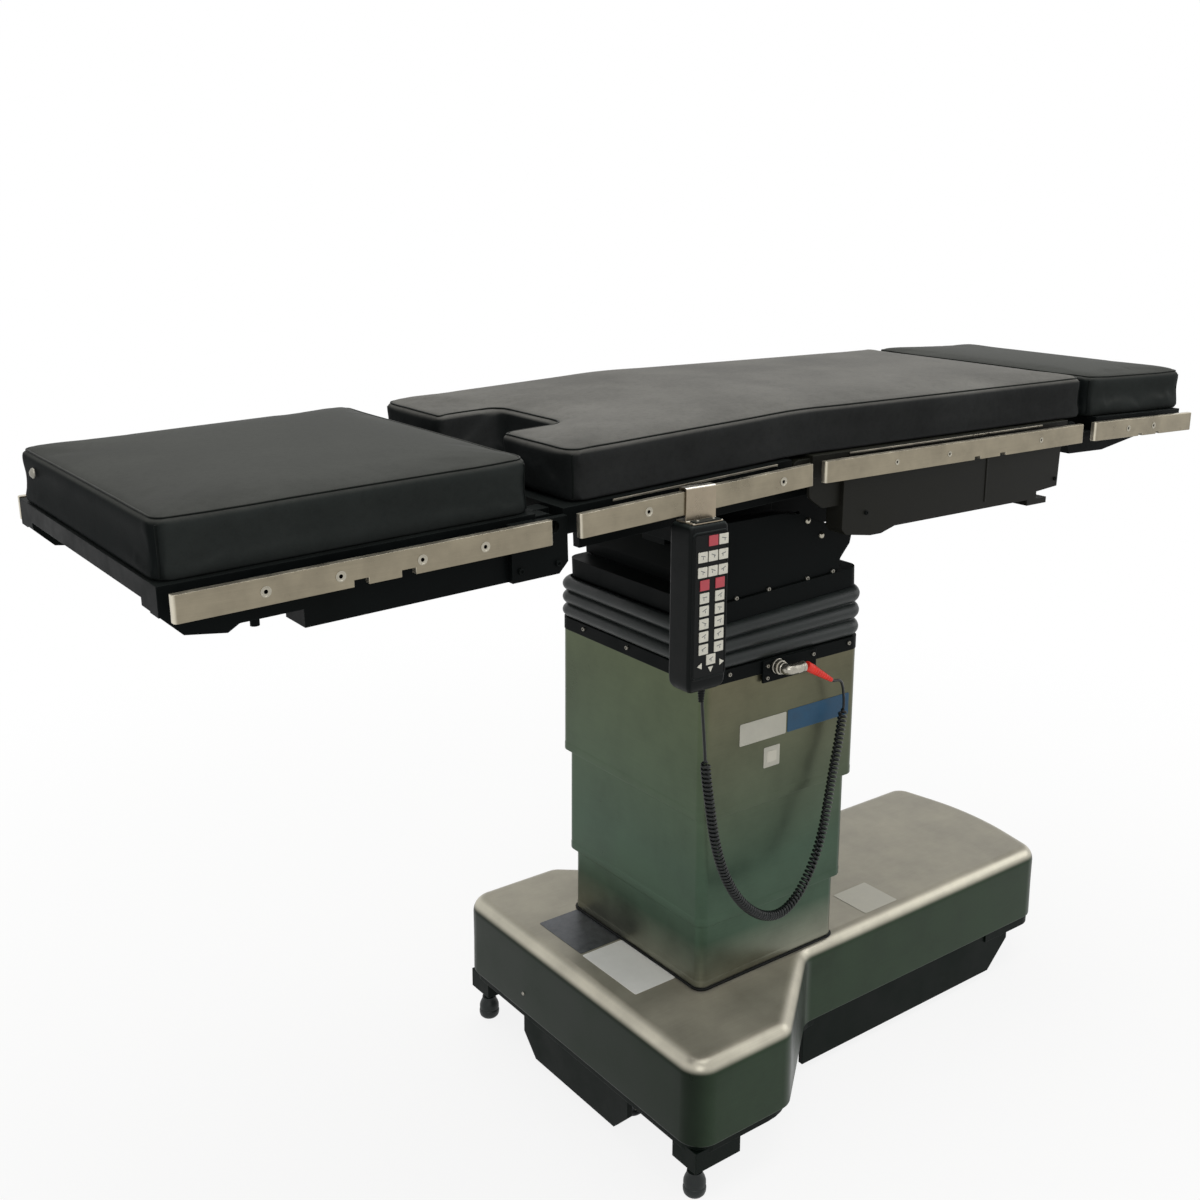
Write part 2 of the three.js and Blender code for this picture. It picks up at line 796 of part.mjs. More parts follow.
function mastRam() {
  const outer = mastHalf - mastWall - slideGap;
  const inner = outer - ramWall;
  const top = columnHeadBottom - fitGap;
  const body = block([-outer, outer], [-outer, outer], [ramBottom, top]);
  const hollow = block([-inner, inner], [-inner, inner], [ramBottom - cutOverrun, top - ramWall]);
  return piece("mast_ram", cut(body, hollow), brightSteel);
}

const columnHeadTop = columnHeadBottom + columnHeadThickness;
const topShroudHalfX = lowerShroudHalfX + 2 * shroudStep;
const topShroudHalfY = lowerShroudHalfY + 2 * shroudStep;

function columnHead() {
  const x = topShroudHalfX + columnHeadOverhang;
  const y = topShroudHalfY + columnHeadOverhang;
  const corner = shroudCornerRadius + shroudStep;
  const plate = planSlab(roundedRectangle([-x, x], [-y, y], corner), [columnHeadBottom, columnHeadTop]);
  return piece("column_head", plate, casting);
}

function tiltPost() {
  const foot = block(
    [-postFootHalfX, postFootHalfX],
    [-postFootHalfY, postFootHalfY],
    [columnHeadTop + fitGap, columnHeadTop + postFootThickness],
  );
  const lug = block(
    [-postHalfX, postHalfX],
    [-postHalfY, postHalfY],
    [columnHeadTop + fitGap, trendAxisHeight],
  );
  const eye = rod("y", [-postHalfY, postHalfY], postHalfX, [0, trendAxisHeight]);
  const bore = rod("y", [-postFootHalfY, postFootHalfY], trendPinRadius + fitGap, [0, trendAxisHeight]);
  return piece("tilt_post", cut(join(foot, lug, eye), bore), casting);
}

// A pleated boot round the tilt post: fat folds outside, a plain bore inside.
function bellows() {
  const bottom = columnHeadTop + fitGap;
  const lean = seatSlope * degrees;
  const topAt = (x) => trendAxisHeight + fromTrend(bellowsTop) / Math.cos(lean) + x * Math.tan(lean) - fitGap;
  const ring = (grow, share) => roundedRectangle(
    [-bellowsHalfX - grow, bellowsHalfX + grow],
    [-bellowsHalfY - grow, bellowsHalfY + grow],
    bellowsCornerRadius + grow,
  ).getPoints(3).slice(0, -1).map(({ x, y }) => [x, y, bottom + share * (topAt(x) - bottom)]);
  const shares = [0, 0.14, 0.34, 0.66, 0.86];
  const swellShares = [0, 0.72, 1, 1, 0.72];
  const rings = [];
  for (let fold = 0; fold < bellowsFolds; fold++) {
    shares.forEach((share, i) => {
      rings.push(ring(bellowsFold * swellShares[i], (fold + share) / bellowsFolds));
    });
  }
  rings.push(ring(0, 1));
  rings.push(ring(-bellowsBore, 1));
  rings.push(ring(-bellowsBore, 0));
  return piece("bellows", skinOf(rings, true), rubber);
}

// Tilting head. Its own frame has its origin on the trend axis and leans with the seat.

function bellowsTopRing() {
  const levels = [fromTrend(bellowsTop), fromTrend(bellowsTop) + ringThickness];
  const outline = roundedRectangle([-ringHalfX, ringHalfX], [-ringHalfY, ringHalfY], ringCornerRadius);
  const hole = block(
    [-yokePocketHalfX, yokePocketHalfX],
    [-yokePocketHalfY, yokePocketHalfY],
    [levels[0] - cutOverrun, levels[1] + cutOverrun],
  );
  return piece("bellows_top_ring", cut(planSlab(outline, levels), hole), casting);
}

function tiltYoke() {
  const bottom = fromTrend(bellowsTop) + ringThickness + fitGap;
  const baseTop = -yokeBaseDrop;
  const shoulderTop = -yokeShoulderDrop;
  const base = block([-yokeBaseHalfX, yokeBaseHalfX], [-yokeBaseHalfY, yokeBaseHalfY], [bottom, baseTop]);
  const shoulder = taper(
    [[-yokeBaseHalfX, yokeBaseHalfX], [-yokeBaseHalfY, yokeBaseHalfY], baseTop],
    [[-yokeShoulderHalfX, yokeShoulderHalfX], [-yokeNeckHalfY, yokeNeckHalfY], shoulderTop],
  );
  const lean = Math.tan(seatSlope * degrees);
  const plates = sidePanelPair(
    yokePlateShares.map(([along, up]) => {
      const x = along * yokeBaseHalfX;
      return [x, Math.max(bottom, up * yokePlateRise - x * lean)];
    }),
    [yokePlateInnerY, yokePlateOuterY],
  );
  const neck = block(
    [-yokeShoulderHalfX, yokeNeckHeadX],
    [-yokeNeckHalfY, yokeNeckHalfY],
    [baseTop, rollAxisLocal - rollShaftRadius],
  );
  const saddle = block(
    [yokeNeckFootX, yokeNeckHeadX],
    [-rollBearingRadius, rollBearingRadius],
    [shoulderTop, rollAxisLocal],
  );
  const bearing = rod("x", [yokeNeckFootX, yokeNeckHeadX], rollBearingRadius, [0, rollAxisLocal]);
  const pocket = sidePanel([
    [-yokePocketHalfX, bottom - cutOverrun],
    [yokePocketHalfX, bottom - cutOverrun],
    [yokePocketAxisHalfX, 0],
    [yokePocketTopHalfX, yokePocketRise],
    [-yokePocketTopHalfX, yokePocketRise],
    [-yokePocketAxisHalfX, 0],
  ], [-yokePocketHalfY, yokePocketHalfY]);
  const pinBore = rod("y", [-yokeNeckHalfY, yokeNeckHalfY], trendPinRadius + fitGap, [0, 0]);
  const shaftBore = rod(
    "x",
    [yokeNeckFootX - cutOverrun, yokeNeckHeadX + cutOverrun],
    rollShaftRadius + fitGap,
    [0, rollAxisLocal],
  );
  const body = join(base, shoulder, neck, saddle, bearing, plates);
  return piece("tilt_yoke", cut(body, pocket, pinBore, shaftBore), casting);
}

function trendPin() {
  return piece("trend_pin", rod("y", [-yokeNeckHalfY, yokeNeckHalfY], trendPinRadius, [0, 0]), brightSteel);
}

function rollShaft() {
  const span = [cradleFootX, cradleHeadX];
  return piece("roll_shaft", rod("x", span, rollShaftRadius, [0, rollAxisLocal]), brightSteel);
}

// Top sections. Each frame's origin is on its section line: X along the section, Z square to it.

// Places along a rail, given as shares of its length, counted from offset.
function placesAlong([x0, x1], shares, offset) {
  return shares.map((share) => x0 + (x1 - x0) * share - offset);
}

function spacers(places, inner) {
  const outer = railOuterY - railThickness - fitGap;
  const reach = spacerLength * half;
  const rise = spacerHeight * half;
  return join(...places.map((x) =>
    blockPair([x - reach, x + reach], [inner - cutOverrun, outer], [-rise, rise])));
}

function knuckles(innerY, towards, x = 0, top = deckTop - cutOverrun) {
  const outerY = innerY + knuckleWidth;
  const eyes = join(
    rod("y", [innerY, outerY], knuckleRadius, [x, 0], 16),
    rod("y", [-outerY, -innerY], knuckleRadius, [x, 0], 16),
  );
  const reach = towards * (frameEndReach + cutOverrun);
  const xs = [Math.min(x, x + reach), Math.max(x, x + reach)];
  return join(eyes, blockPair(xs, [innerY, outerY], [-knuckleRadius + cutOverrun * half, top]));
}

function pinHole(x = 0) {
  return rod("y", [-railOuterY, railOuterY], hingePinRadius + fitGap, [x, 0], 16);
}

function hingePin(name) {
  const reach = childKnuckleY + knuckleWidth;
  return piece(name, rod("y", [-reach, reach], hingePinRadius, [0, 0], 16), brightSteel);
}

function railOf(name, side, [x0, x1], notchXs, notchWidth, notchDepth) {
  const low = -railHeight * half;
  const points = [[x0, low]];
  for (const x of notchXs) {
    const reach = notchWidth * half;
    points.push(
      [x - reach, low],
      [x - reach, low + notchDepth],
      [x + reach, low + notchDepth],
      [x + reach, low],
    );
  }
  points.push([x1, low], [x1, -low], [x0, -low]);
  const ys = [railOuterY - railThickness, railOuterY];
  const bar = sidePanel(points, side > 0 ? ys : [-ys[1], -ys[0]]);
  return piece(name, bar, brightSteel);
}

function rails(section, span, offset, notchShares, notchWidth, notchDepth) {
  const shifted = span.map((x) => x - offset);
  const notches = placesAlong(span, notchShares, offset);
  return [["near", -1], ["far", 1]].map(([where, side]) =>
    railOf(section + "_rail_" + where, side, shifted, notches, notchWidth, notchDepth));
}

function legFrame() {
  const x = (place) => place - legHingeX;
  const foot = x(legFrameFootX);
  const seat = -frameEndReach;
  const deck = block([foot, seat], [-deckHalfWidth, deckHalfWidth], [deckBottom, deckTop]);
  const beams = blockPair([foot, seat], [beamInnerY, deckHalfWidth], [beamBottom, deckBottom + fitGap]);
  const panels = sidePanelPair([
    [foot, deckBottom + fitGap],
    [foot, -legTipRise],
    [x(legTipX) - legTipDepth, -legShallowDepth],
    [x(legTipX), -legTipDepth],
    [x(legTipX) + legTipRise, -legShallowDepth],
    [x(legPanelStepX), -legShallowDepth],
    [x(legPanelStepX), -legPanelDepth],
    [x(legPanelSeatX), -legPanelDepth],
    [x(legPanelSeatX), deckBottom + fitGap],
  ], [legPanelInnerY, deckHalfWidth]);
  const endBeam = block(
    [foot, foot + legEndBeamLength],
    [-deckHalfWidth, deckHalfWidth],
    [-deckBottom, deckBottom + fitGap],
  );
  const cheeks = sidePanelPair([
    [legCheekFoot, legCheekTop],
    [legCheekFoot, -legPanelDepth],
    [legCheekHead - legCheekChamfer, -legPanelDepth],
    [legCheekHead, -legPanelDepth + legCheekChamfer],
    [legCheekHead, legCheekTop],
  ], [legCheekInnerY, legCheekOuterY]);
  const cheekRoots = blockPair(
    [legCheekFoot, seat - cutOverrun],
    [beamInnerY, legCheekOuterY],
    [beamBottom, legCheekTop],
  );
  const pinWell = rod(
    "z",
    [-legPanelDepth, -legShallowDepth + releasePinLength - releasePinShown + cutOverrun + cutOverrun],
    releasePinRadius + fitGap,
    [x(releasePinX), releasePinY],
    12,
  );
  const body = join(
    deck,
    beams,
    panels,
    endBeam,
    cheeks,
    cheekRoots,
    knuckles(childKnuckleY, -1),
    spacers(placesAlong(legRailSpan, legSpacerShares, legHingeX), deckHalfWidth),
  );
  return piece("leg_frame", cut(body, pinHole(), pinWell), casting);
}

function legReleasePin() {
  const low = -legShallowDepth - releasePinShown;
  const place = [releasePinX - legHingeX, releasePinY];
  const pin = rod("z", [low, low + releasePinLength], releasePinRadius, place, 12);
  return piece("leg_release_pin", pin, casting);
}

function seatFrame() {
  const foot = legHingeX + frameEndReach;
  const head = backHingeX - frameEndReach;
  const deck = block([foot, head], [-deckHalfWidth, deckHalfWidth], [deckBottom, deckTop]);
  const beams = blockPair([foot, head], [beamInnerY, deckHalfWidth], [beamBottom, deckBottom + fitGap]);
  const walls = sidePanelPair([
    [seatWallFootX, deckBottom + fitGap],
    [seatWallFootX, -seatWallDepth],
    [seatWallHeadX, -seatWallDepth],
    [seatWallHeadX, seatWallTipTop],
    [backHingeX, -knuckleRadius],
    [head, deckBottom + fitGap],
  ], [seatWallOuterY - seatWallThickness, seatWallOuterY]);
  const reach = cutoutHalfWidth;
  const notch = planSlab(
    roundedRectangle(
      [foot - cutOverrun - padCornerRadius, torsoPadFootX + cutoutDepth],
      [-reach, reach],
      padCornerRadius,
    ),
    [-seatWallDepth, deckTop + cutOverrun],
  );
  const body = join(
    cut(deck, notch),
    beams,
    walls,
    knuckles(parentKnuckleY, 1, legHingeX),
    knuckles(parentKnuckleY, -1, backHingeX),
    spacers(placesAlong(seatRailSpan, seatSpacerShares, 0), deckHalfWidth),
  );
  return piece("seat_frame", cut(body, pinHole(legHingeX), pinHole(backHingeX)), casting);
}

// The cradle hangs from the seat and turns on the roll shaft. Its spine carries the seat frame, and its
// arm reaches under the back section to the back's lifting gear.
function rollCradle() {
  const axis = -rollAxisDrop;
  const box = block(
    [cradleFootX, cradleHeadX],
    [-cradleHalfWidth, cradleHalfWidth],
    [cradleBottom, cradleTop],
  );
  const inner = cradleHalfWidth - cradleCheek;
  const room = block(
    [cradleFootX + cradleEndWall, cradleHeadX - cradleEndWall],
    [-inner, inner],
    [cradleBottom - cutOverrun, cradleTop - cradleDeck],
  );
  const head = backHingeX - frameEndReach;
  const spine = block(
    [spineFootX, head],
    [-spineHalfWidth, spineHalfWidth],
    [-spineDepth, deckBottom - fitGap],
  );
  const bore = rod(
    "x",
    [cradleFootX - cutOverrun, cradleHeadX + cutOverrun],
    rollShaftRadius + fitGap,
    [0, axis],
  );
  const root = cradleHeadX - cutOverrun;
  const arm = sidePanel([
    [root, cradleBottom],
    [cradleArmStepX - cradleArmChamfer, cradleBottom],
    [cradleArmStepX, cradleArmBottom],
    [cradleArmHeadX - cradleArmChamfer, cradleArmBottom],
    [cradleArmHeadX, cradleArmBottom + cradleArmChamfer],
    [cradleArmHeadX, cradleArmTipTop],
    [root, cradleArmRootTop],
  ], [-cradleArmHalfWidth, cradleArmHalfWidth]);
  return piece("roll_cradle", cut(join(cut(box, room), spine, arm), bore), casting);
}

function backFrame() {
  const x = (place) => place - backHingeX;
  const foot = frameEndReach;
  const head = x(backFrameHeadX);
  const deck = block([foot, head], [-deckHalfWidth, deckHalfWidth], [deckBottom, deckTop]);
  const beams = blockPair([foot, head], [beamInnerY, deckHalfWidth], [beamBottom, deckBottom + fitGap]);
  const housings = sidePanelPair([
    [x(backHousingFootX), deckBottom + fitGap],
    [x(backHousingFootX), -backHousingDepth + backHousingFootCut],
    [x(backHousingFootX) + backHousingFootCut, -backHousingDepth],
    [x(backBumpX), -backBumpDepth],
    [x(backBumpX) + backFootChamfer, -backBumpDepth],
    [x(backBumpEndX), -backHousingDepth],
    [x(backHookX), -backHousingDepth],
    [x(backHookX), -backHookDepth],
    [x(backHookEndX), -backHookDepth],
    [x(backHookEndX), -backHookSlotBottom],
    [x(backHookSlotX), -backHookSlotBottom],
    [x(backHookSlotX), -backHookSlotTop],
    [x(backHousingHeadX) - backNotchDepth, -backHeadCornerDepth],
    [x(backHousingHeadX), deckBottom + fitGap],
  ], [beamInnerY, backHousingOuterY]);
  const headHinge = headHingeX - backHingeX;
  const body = join(
    deck,
    beams,
    housings,
    knuckles(childKnuckleY, 1),
    knuckles(parentKnuckleY, -1, headHinge),
    spacers(placesAlong(backRailSpan, backSpacerShares, backHingeX), backHousingOuterY),
  );
  return piece("back_frame", cut(body, pinHole(), pinHole(headHinge)), casting);
}

function headFrame() {
  const x = (place) => place - headHingeX;
  const head = x(headFrameHeadX);
  const foot = x(headFrameFootX);
  const deck = block([foot, head], [-deckHalfWidth, deckHalfWidth], [deckBottom, deckTop]);
  const beams = blockPair([foot, head], [beamInnerY, deckHalfWidth], [beamBottom, deckBottom + fitGap]);
  const panels = sidePanelPair([
    [foot, deckBottom + fitGap],
    [foot, headArmTop],
    [x(headPanelFootX), headArmTop],
    [x(headPanelFootX), -headPanelEndDepth],
    [x(headPanelFootX) + headPanelEndDepth, -headPanelDepth],
    [x(headPanelFlatX), -headPanelDepth],
    [head, -headPanelEndDepth],
    [head, deckBottom + fitGap],
  ], [headPanelInnerY, headPanelInnerY + headPanelThickness]);
  const arms = blockPair(
    [frameEndReach, foot + cutOverrun],
    [headPanelInnerY, deckHalfWidth],
    [beamBottom, headArmTop],
  );
  const body = join(
    deck,
    beams,
    panels,
    arms,
    knuckles(childKnuckleY, 1, 0, headArmTop),
    spacers(placesAlong(headRailSpan, headSpacerShares, headHingeX), deckHalfWidth),
  );
  return piece("head_frame", cut(body, pinHole()), casting);
}

// Pads: a crowned top, rounded edges and sides that pull in a little between the top and the bottom.
// levels gives, for each ring from the bottom up, the share of the height and how far it is set in.
const padLevels = [
  { share: 0, inset: padEdgeRadius * 0.5 },
  { share: 0.08, inset: 0 },
  { share: 0.45, inset: padPullIn },
  { share: 0.84, inset: 0 },
  { share: 0.95, inset: padEdgeRadius * 0.35 },
  { share: 1, inset: padEdgeRadius },
];

function padOutline([x0, x1], inset, perSide, open) {
  const y = padHalfWidth - inset;
  const [fromX, toX] = [open.foot ? x0 : x0 + inset, open.head ? x1 : x1 - inset];
  const footCorner = open.foot ? 0 : padCornerRadius - inset;
  const headCorner = open.head ? 0 : padCornerRadius - inset;
  const ring = [];
  const corner = (cx, cy, radius, start) => {
    for (let s = 0; s <= 3; s++) {
      const turn = start + (s / 3) * halfTurn * half;
      ring.push([cx + Math.cos(turn) * radius, cy + Math.sin(turn) * radius]);
    }
  };
  const edge = (from, to) => {
    for (let s = 1; s < perSide; s++) {
      const share = s / perSide;
      ring.push([from[0] + (to[0] - from[0]) * share, from[1] + (to[1] - from[1]) * share]);
    }
  };
  corner(fromX + footCorner, -y + footCorner, footCorner, halfTurn);
  edge([fromX + footCorner, -y], [toX - headCorner, -y]);
  corner(toX - headCorner, -y + headCorner, headCorner, -halfTurn * half);
  edge([toX, -y + headCorner], [toX, y - headCorner]);
  corner(toX - headCorner, y - headCorner, headCorner, 0);
  edge([toX - headCorner, y], [fromX + footCorner, y]);
  corner(fromX + footCorner, y - footCorner, footCorner, halfTurn * half);
  edge([fromX, y - footCorner], [fromX, -y + footCorner]);
  return ring;
}

// The top swells smoothly from its edge to its middle, in rings that shrink towards the centre.
function padSolid(span, open = { foot: false, head: false }, perSide = 4) {
  const middle = (span[0] + span[1]) * half;
  const rings = padLevels.map(({ share, inset }) =>
    padOutline(span, inset, perSide, open).map(([x, y]) => [x, y, padRise + share * (padHeight - padCrown)]));
  const rim = rings[rings.length - 1];
  for (const [inShare, riseShare] of [[0.25, 0.55], [0.6, 0.9], [0.9, 1]]) {
    rings.push(rim.map(([x, y, z]) => {
      const along = open.foot || open.head ? x : x + (middle - x) * inShare;
      return [along, y * (1 - inShare), z + padCrown * riseShare];
    }));
  }
  return skinOf(rings);
}

const seatPadHeadX = backHingeX - flexHalfLength;
const backPadFootX = backHingeX + flexHalfLength;

function shiftPad(span, offset) {
  return span.map((x) => x - offset);
}

function legPad() {
  return piece("leg_pad", padSolid(shiftPad([legPadFootX, legPadSeatX], legHingeX)), vinyl);
}

function seatPad() {
  const whole = padSolid([torsoPadFootX, seatPadHeadX], { foot: false, head: false });
  const square = block(
    [seatPadHeadX - padCornerRadius - padEdgeRadius, seatPadHeadX],
    [-padHalfWidth + padPullIn, padHalfWidth - padPullIn],
    [padRise, padRise + padHeight - padCrown],
  );
  const reach = cutoutHalfWidth - padCornerRadius;
  const throat = planSlab(
    roundedRectangle(
      [torsoPadFootX - 2 * padCornerRadius, torsoPadFootX + cutoutDepth],
      [-cutoutHalfWidth, cutoutHalfWidth],
      padCornerRadius,
    ),
    [padRise - cutOverrun, padRise + padHeight + reach],
    3,
  );
  return piece("seat_pad", cut(join(whole, square), throat), vinyl);
}

function torsoPadFlex() {
  const span = [seatPadHeadX + fitGap, backPadFootX - fitGap];
  return piece("torso_pad_flex", padSolid(span, { foot: true, head: true }, 3), vinyl);
}

function backPad() {
  const span = shiftPad([backPadFootX, torsoPadHeadX], backHingeX);
  const square = block(
    [span[0], span[0] + padCornerRadius + padEdgeRadius],
    [-padHalfWidth + padPullIn, padHalfWidth - padPullIn],
    [padRise, padRise + padHeight - padCrown],
  );
  return piece("back_pad", join(padSolid(span), square), vinyl);
}

function headPad() {
  return piece("head_pad", padSolid(shiftPad([headPadBackX, headPadHeadX], headHingeX)), vinyl);
}

// Connector on the column and the plug of the hand control

const connectorBackY = -(topShroudHalfY + columnHeadOverhang + fitGap);
const connectorFrontY = connectorBackY - connectorPlateThickness;
const socketFrontY = connectorFrontY - fitGap - socketLength;
const plugY = socketFrontY - fitGap - plugRadius;

function connectorPlate() {
  const plate = block(
    [connectorPlateFootX, connectorPlateHeadX],
    [connectorFrontY, connectorBackY],
    [connectorPlateBottom, connectorPlateTop],
  );
  return piece("connector_plate", plate, casting);
}

function connectorSocket() {
  const ys = [socketFrontY, connectorFrontY - fitGap];
  const socket = rod("y", ys, socketRadius, [connectorX, connectorHeight], 16);
  return piece("connector_socket", socket, brightSteel);
}

function cordPlug() {
  const stub = rod("y", [plugY, socketFrontY - fitGap], plugRadius, [connectorX, connectorHeight], 16);
  const ends = [connectorX - plugRadius, connectorX + plugReach];
  const arm = rod("x", ends, plugRadius, [plugY, connectorHeight], 16);
  return piece("cord_plug", join(stub, arm), brightSteel);
}

const bootSlope = Math.asin(bootDrop / bootLength);
const bootStart = new THREE.Vector3(
  connectorX + plugReach + bootRadius * Math.sin(bootSlope) + fitGap,
  plugY,
  connectorHeight,
);
const bootAhead = new THREE.Vector3(Math.cos(bootSlope), 0, -Math.sin(bootSlope));

function plugBoot() {
  const profile = [
    [0, 0],
    [bootRadius, 0],
    [bootRadius, bootLength * 0.25],
    [(bootRadius + bootTipRadius) * half, bootLength * 0.6],
    [bootTipRadius, bootLength],
    [0, bootLength],
  ].map(([r, z]) => new THREE.Vector2(r, z));
  const cone = new THREE.LatheGeometry(profile, 12).rotateZ(-halfTurn * half).rotateY(bootSlope);
  const mesh = piece("plug_boot", solidOf(cone), bootPlastic);
  mesh.position.copy(bootStart);
  return mesh;
}

// Hand control, hung on the seat rail by a bent steel hook

function controlCase() {
  const shape = roundedRectangle(
    [controlX - controlHalfWidth, controlX + controlHalfWidth],
    [controlFrontY, controlBackY],
    controlEdge,
  );
  return piece("control_case", planSlab(shape, [controlBottom, controlTop], 3), plastic);
}

function controlKeypad() {
  const film = block(
    [controlX - keypadHalfWidth, controlX + keypadHalfWidth],
    [controlFrontY - fitGap - keypadThickness, controlFrontY - fitGap],
    [keypadBottom, keypadTop],
  );
  return piece("control_keypad", film, keypadFilm);
}

// The hook rests on the seat's near rail, above the higher end of the rail's slope under it.
function controlHook() {
  const slope = seatSlope * degrees;
  const railTop = sectionLineHeight + (railHeight * half) / Math.cos(slope);
  const seat = railTop + (controlX + hookHalfWidth) * Math.tan(slope) + hookSeatGap;
  const outerY = -railOuterY - fitGap - hookThickness;
  const backY = -railOuterY + railThickness + fitGap;
  const low = controlTop + fitGap;
  const top = seat + hookThickness;
  const profile = [
    [controlFrontY + controlEdge, low],
    [hookFootBackY, low],
    [hookFootBackY, low + hookThickness],
    [outerY + hookThickness, low + hookThickness],
    [outerY + hookThickness, seat],
    [backY, seat],
    [backY, seat - hookLipDrop],
    [backY + hookThickness, seat - hookLipDrop],
    [backY + hookThickness, top],
    [outerY, top],
    [outerY, low + hookThickness],
    [controlFrontY + controlEdge, low + hookThickness],
  ];
  const shape = new THREE.Shape(profile.map(([y, z]) => new THREE.Vector2(y, z)));
  const geometry = new THREE.ExtrudeGeometry(shape, { depth: 2 * hookHalfWidth, bevelEnabled: false });
  geometry.rotateX(halfTurn * half).rotateZ(halfTurn * half);
  return piece("control_hook", solidOf(geometry.translate(controlX - hookHalfWidth, 0, 0)), brightSteel);
}

// Curly cord. The curls wind round a hanging line from the hand control's tail to the plug's tail.

function hangingLine() {
  const reach = coilHeadX - coilFootX;
  return new THREE.CatmullRomCurve3(hangPoints.map(([x, z]) => {
    const y = coilFootY + ((x - coilFootX) / reach) * (coilHeadY - coilFootY);
    return new THREE.Vector3(x, y, z);
  }), false, "centripetal");
}

function curlyLine() {
  const hang = hangingLine();
  const steps = curlCount * curlSteps;
  const hangPlaneNormal = new THREE.Vector3(coilHeadY - coilFootY, coilFootX - coilHeadX, 0).normalize();
  const line = [];
  for (let i = 0; i <= steps; i++) {
    const share = i / steps;
    const centre = hang.getPointAt(share);
    const ahead = hang.getTangentAt(share);
    const across = ahead.clone().cross(hangPlaneNormal).normalize();
    const near = Math.min(i, steps - i) / curlSteps;
    const radius = curlRadius * Math.min(1, near);
    const turn = (i / curlSteps) * 2 * halfTurn;
    centre.addScaledVector(across, Math.cos(turn) * radius);
    centre.addScaledVector(hangPlaneNormal, Math.sin(turn) * radius);
    line.push(centre);
  }
  return line;
}

// The least distance between the wire's surface and itself, one curl on or more.
function leastSelfGap(line) {
  let least = Infinity;
  for (let i = 0; i < line.length; i++) {
    for (let j = i + curlSteps - 2; j < Math.min(line.length, i + 3 * curlSteps); j++) {
      least = Math.min(least, line[i].distanceTo(line[j]));
    }
  }
  return least - wireDiameter;
}

const wireLine = curlyLine();
console.log("least gap between curls: " + leastSelfGap(wireLine).toFixed(2) + " mm");

function cords() {
  const radius = wireDiameter * half;
  const down = new THREE.Vector3(0, 0, -1);
  const coilStart = wireLine[0];
  const tailTop = new THREE.Vector3(tailTopX, tailTopY, controlBottom - fitGap);
  const tail = [tailTop, ...new THREE.CatmullRomCurve3([
    tailTop.clone().addScaledVector(down, wireDiameter),
    coilStart.clone().addScaledVector(down, -wireDiameter),
    coilStart,
  ]).getPoints(10).slice(0, -1)];
  const bootEnd = bootStart.clone().addScaledVector(bootAhead, bootLength + fitGap);
  const plugTail = [bootEnd, ...new THREE.CatmullRomCurve3([
    bootEnd.clone().addScaledVector(bootAhead, wireDiameter),
    ...plugTailPoints.map((p) => new THREE.Vector3(...p)),
  ]).getPoints(12)].reverse();
  const whole = [...tail, ...wireLine.slice(0, -1), ...plugTail];
  const first = tail.length;
  const split = first + wireLine.findIndex((p) => p.z < upperCoilEnd);
  return [
    piece("cord_tail", tubeOf(whole, radius, tailSides, [0, first]), rubber),
    piece("cord_coil_upper", tubeOf(whole, radius, wireSides, [first, split]), rubber),
    piece("cord_coil_lower", tubeOf(whole, radius, wireSides, [split, whole.length - 1]), rubber),
  ];
}

// Assembly

function group(children, position = [0, 0, 0], slope = 0) {
  const made = new THREE.Group();
  made.position.set(...position);
  made.rotation.y = -slope * degrees;
  made.add(...children);
  return made;
}

const headSection = group(
  [
    headFrame(),
    ...rails("head", headRailSpan, headHingeX, headNotchShares, headNotchWidth, headNotchDepth),
    headPad(),
    hingePin("head_hinge_pin"),
  ],
  [headHingeX - backHingeX, 0, 0],
  headSlopeFromBack,
);

const backSection = group(
  [
    backFrame(),
    ...rails("back", backRailSpan, backHingeX, backNotchShares, backNotchWidth, backNotchDepth),
    backPad(),
    hingePin("back_hinge_pin"),
    headSection,
  ],
  [backHingeX, 0, 0],
  backSlopeFromSeat,
);

const legSection = group(
  [
    legFrame(),
    ...rails("leg", legRailSpan, legHingeX, legNotchShares, legNotchWidth, legNotchDepth),
    legPad(),
    legReleasePin(),
    hingePin("leg_hinge_pin"),
  ],
  [legHingeX, 0, 0],
  legSlopeFromSeat,
);

const seatSection = group(
  [
    seatFrame(),
    ...rails("seat", seatRailSpan, 0, [], 0, 0),
    rollCradle(),
    seatPad(),
    torsoPadFlex(),
    legSection,
    backSection,
  ],
  [0, 0, sectionLineHeight - trendAxisHeight],
);

const tiltingHead = group(
  [bellowsTopRing(), tiltYoke(), trendPin(), rollShaft(), seatSection],
  [0, 0, trendAxisHeight],
  seatSlope,
);

const column = group([
  lowerShroud(), lowerMast(), middleShroud(), topShroud(), mastRam(), columnHead(), tiltPost(), bellows(),
  connectorPlate(), connectorSocket(), cordPlug(), plugBoot(),
]);

const base = group([
  baseCover(),
  chassis(),
  hydraulicUnit(),
  ...lockPlaces.map((place, i) => floorLockFoot("floor_lock_foot_" + (i + 1), place)),
  ...casterPlaces.map((place, i) => casterFork("caster_fork_" + (i + 1), place)),
  ...casterPlaces.map((place, i) => casterWheel("caster_wheel_" + (i + 1), place)),
]);

const handControl = group([controlCase(), controlKeypad(), controlHook(), ...cords()]);

const table = group([base, column, tiltingHead, handControl]);
const bounds = new THREE.Box3().setFromObject(table);
table.position.x = -(bounds.min.x + bounds.max.x) * half;

export default table;
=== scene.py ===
"""A mobile surgical table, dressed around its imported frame.

Lengths are written in millimetres and turned to metres when a piece is made. +X points to the head end,
-Y to the side that carries the hand control, +Z up. Places along the table are counted from the column's
centre line, which the frame gives.
"""
from __future__ import annotations

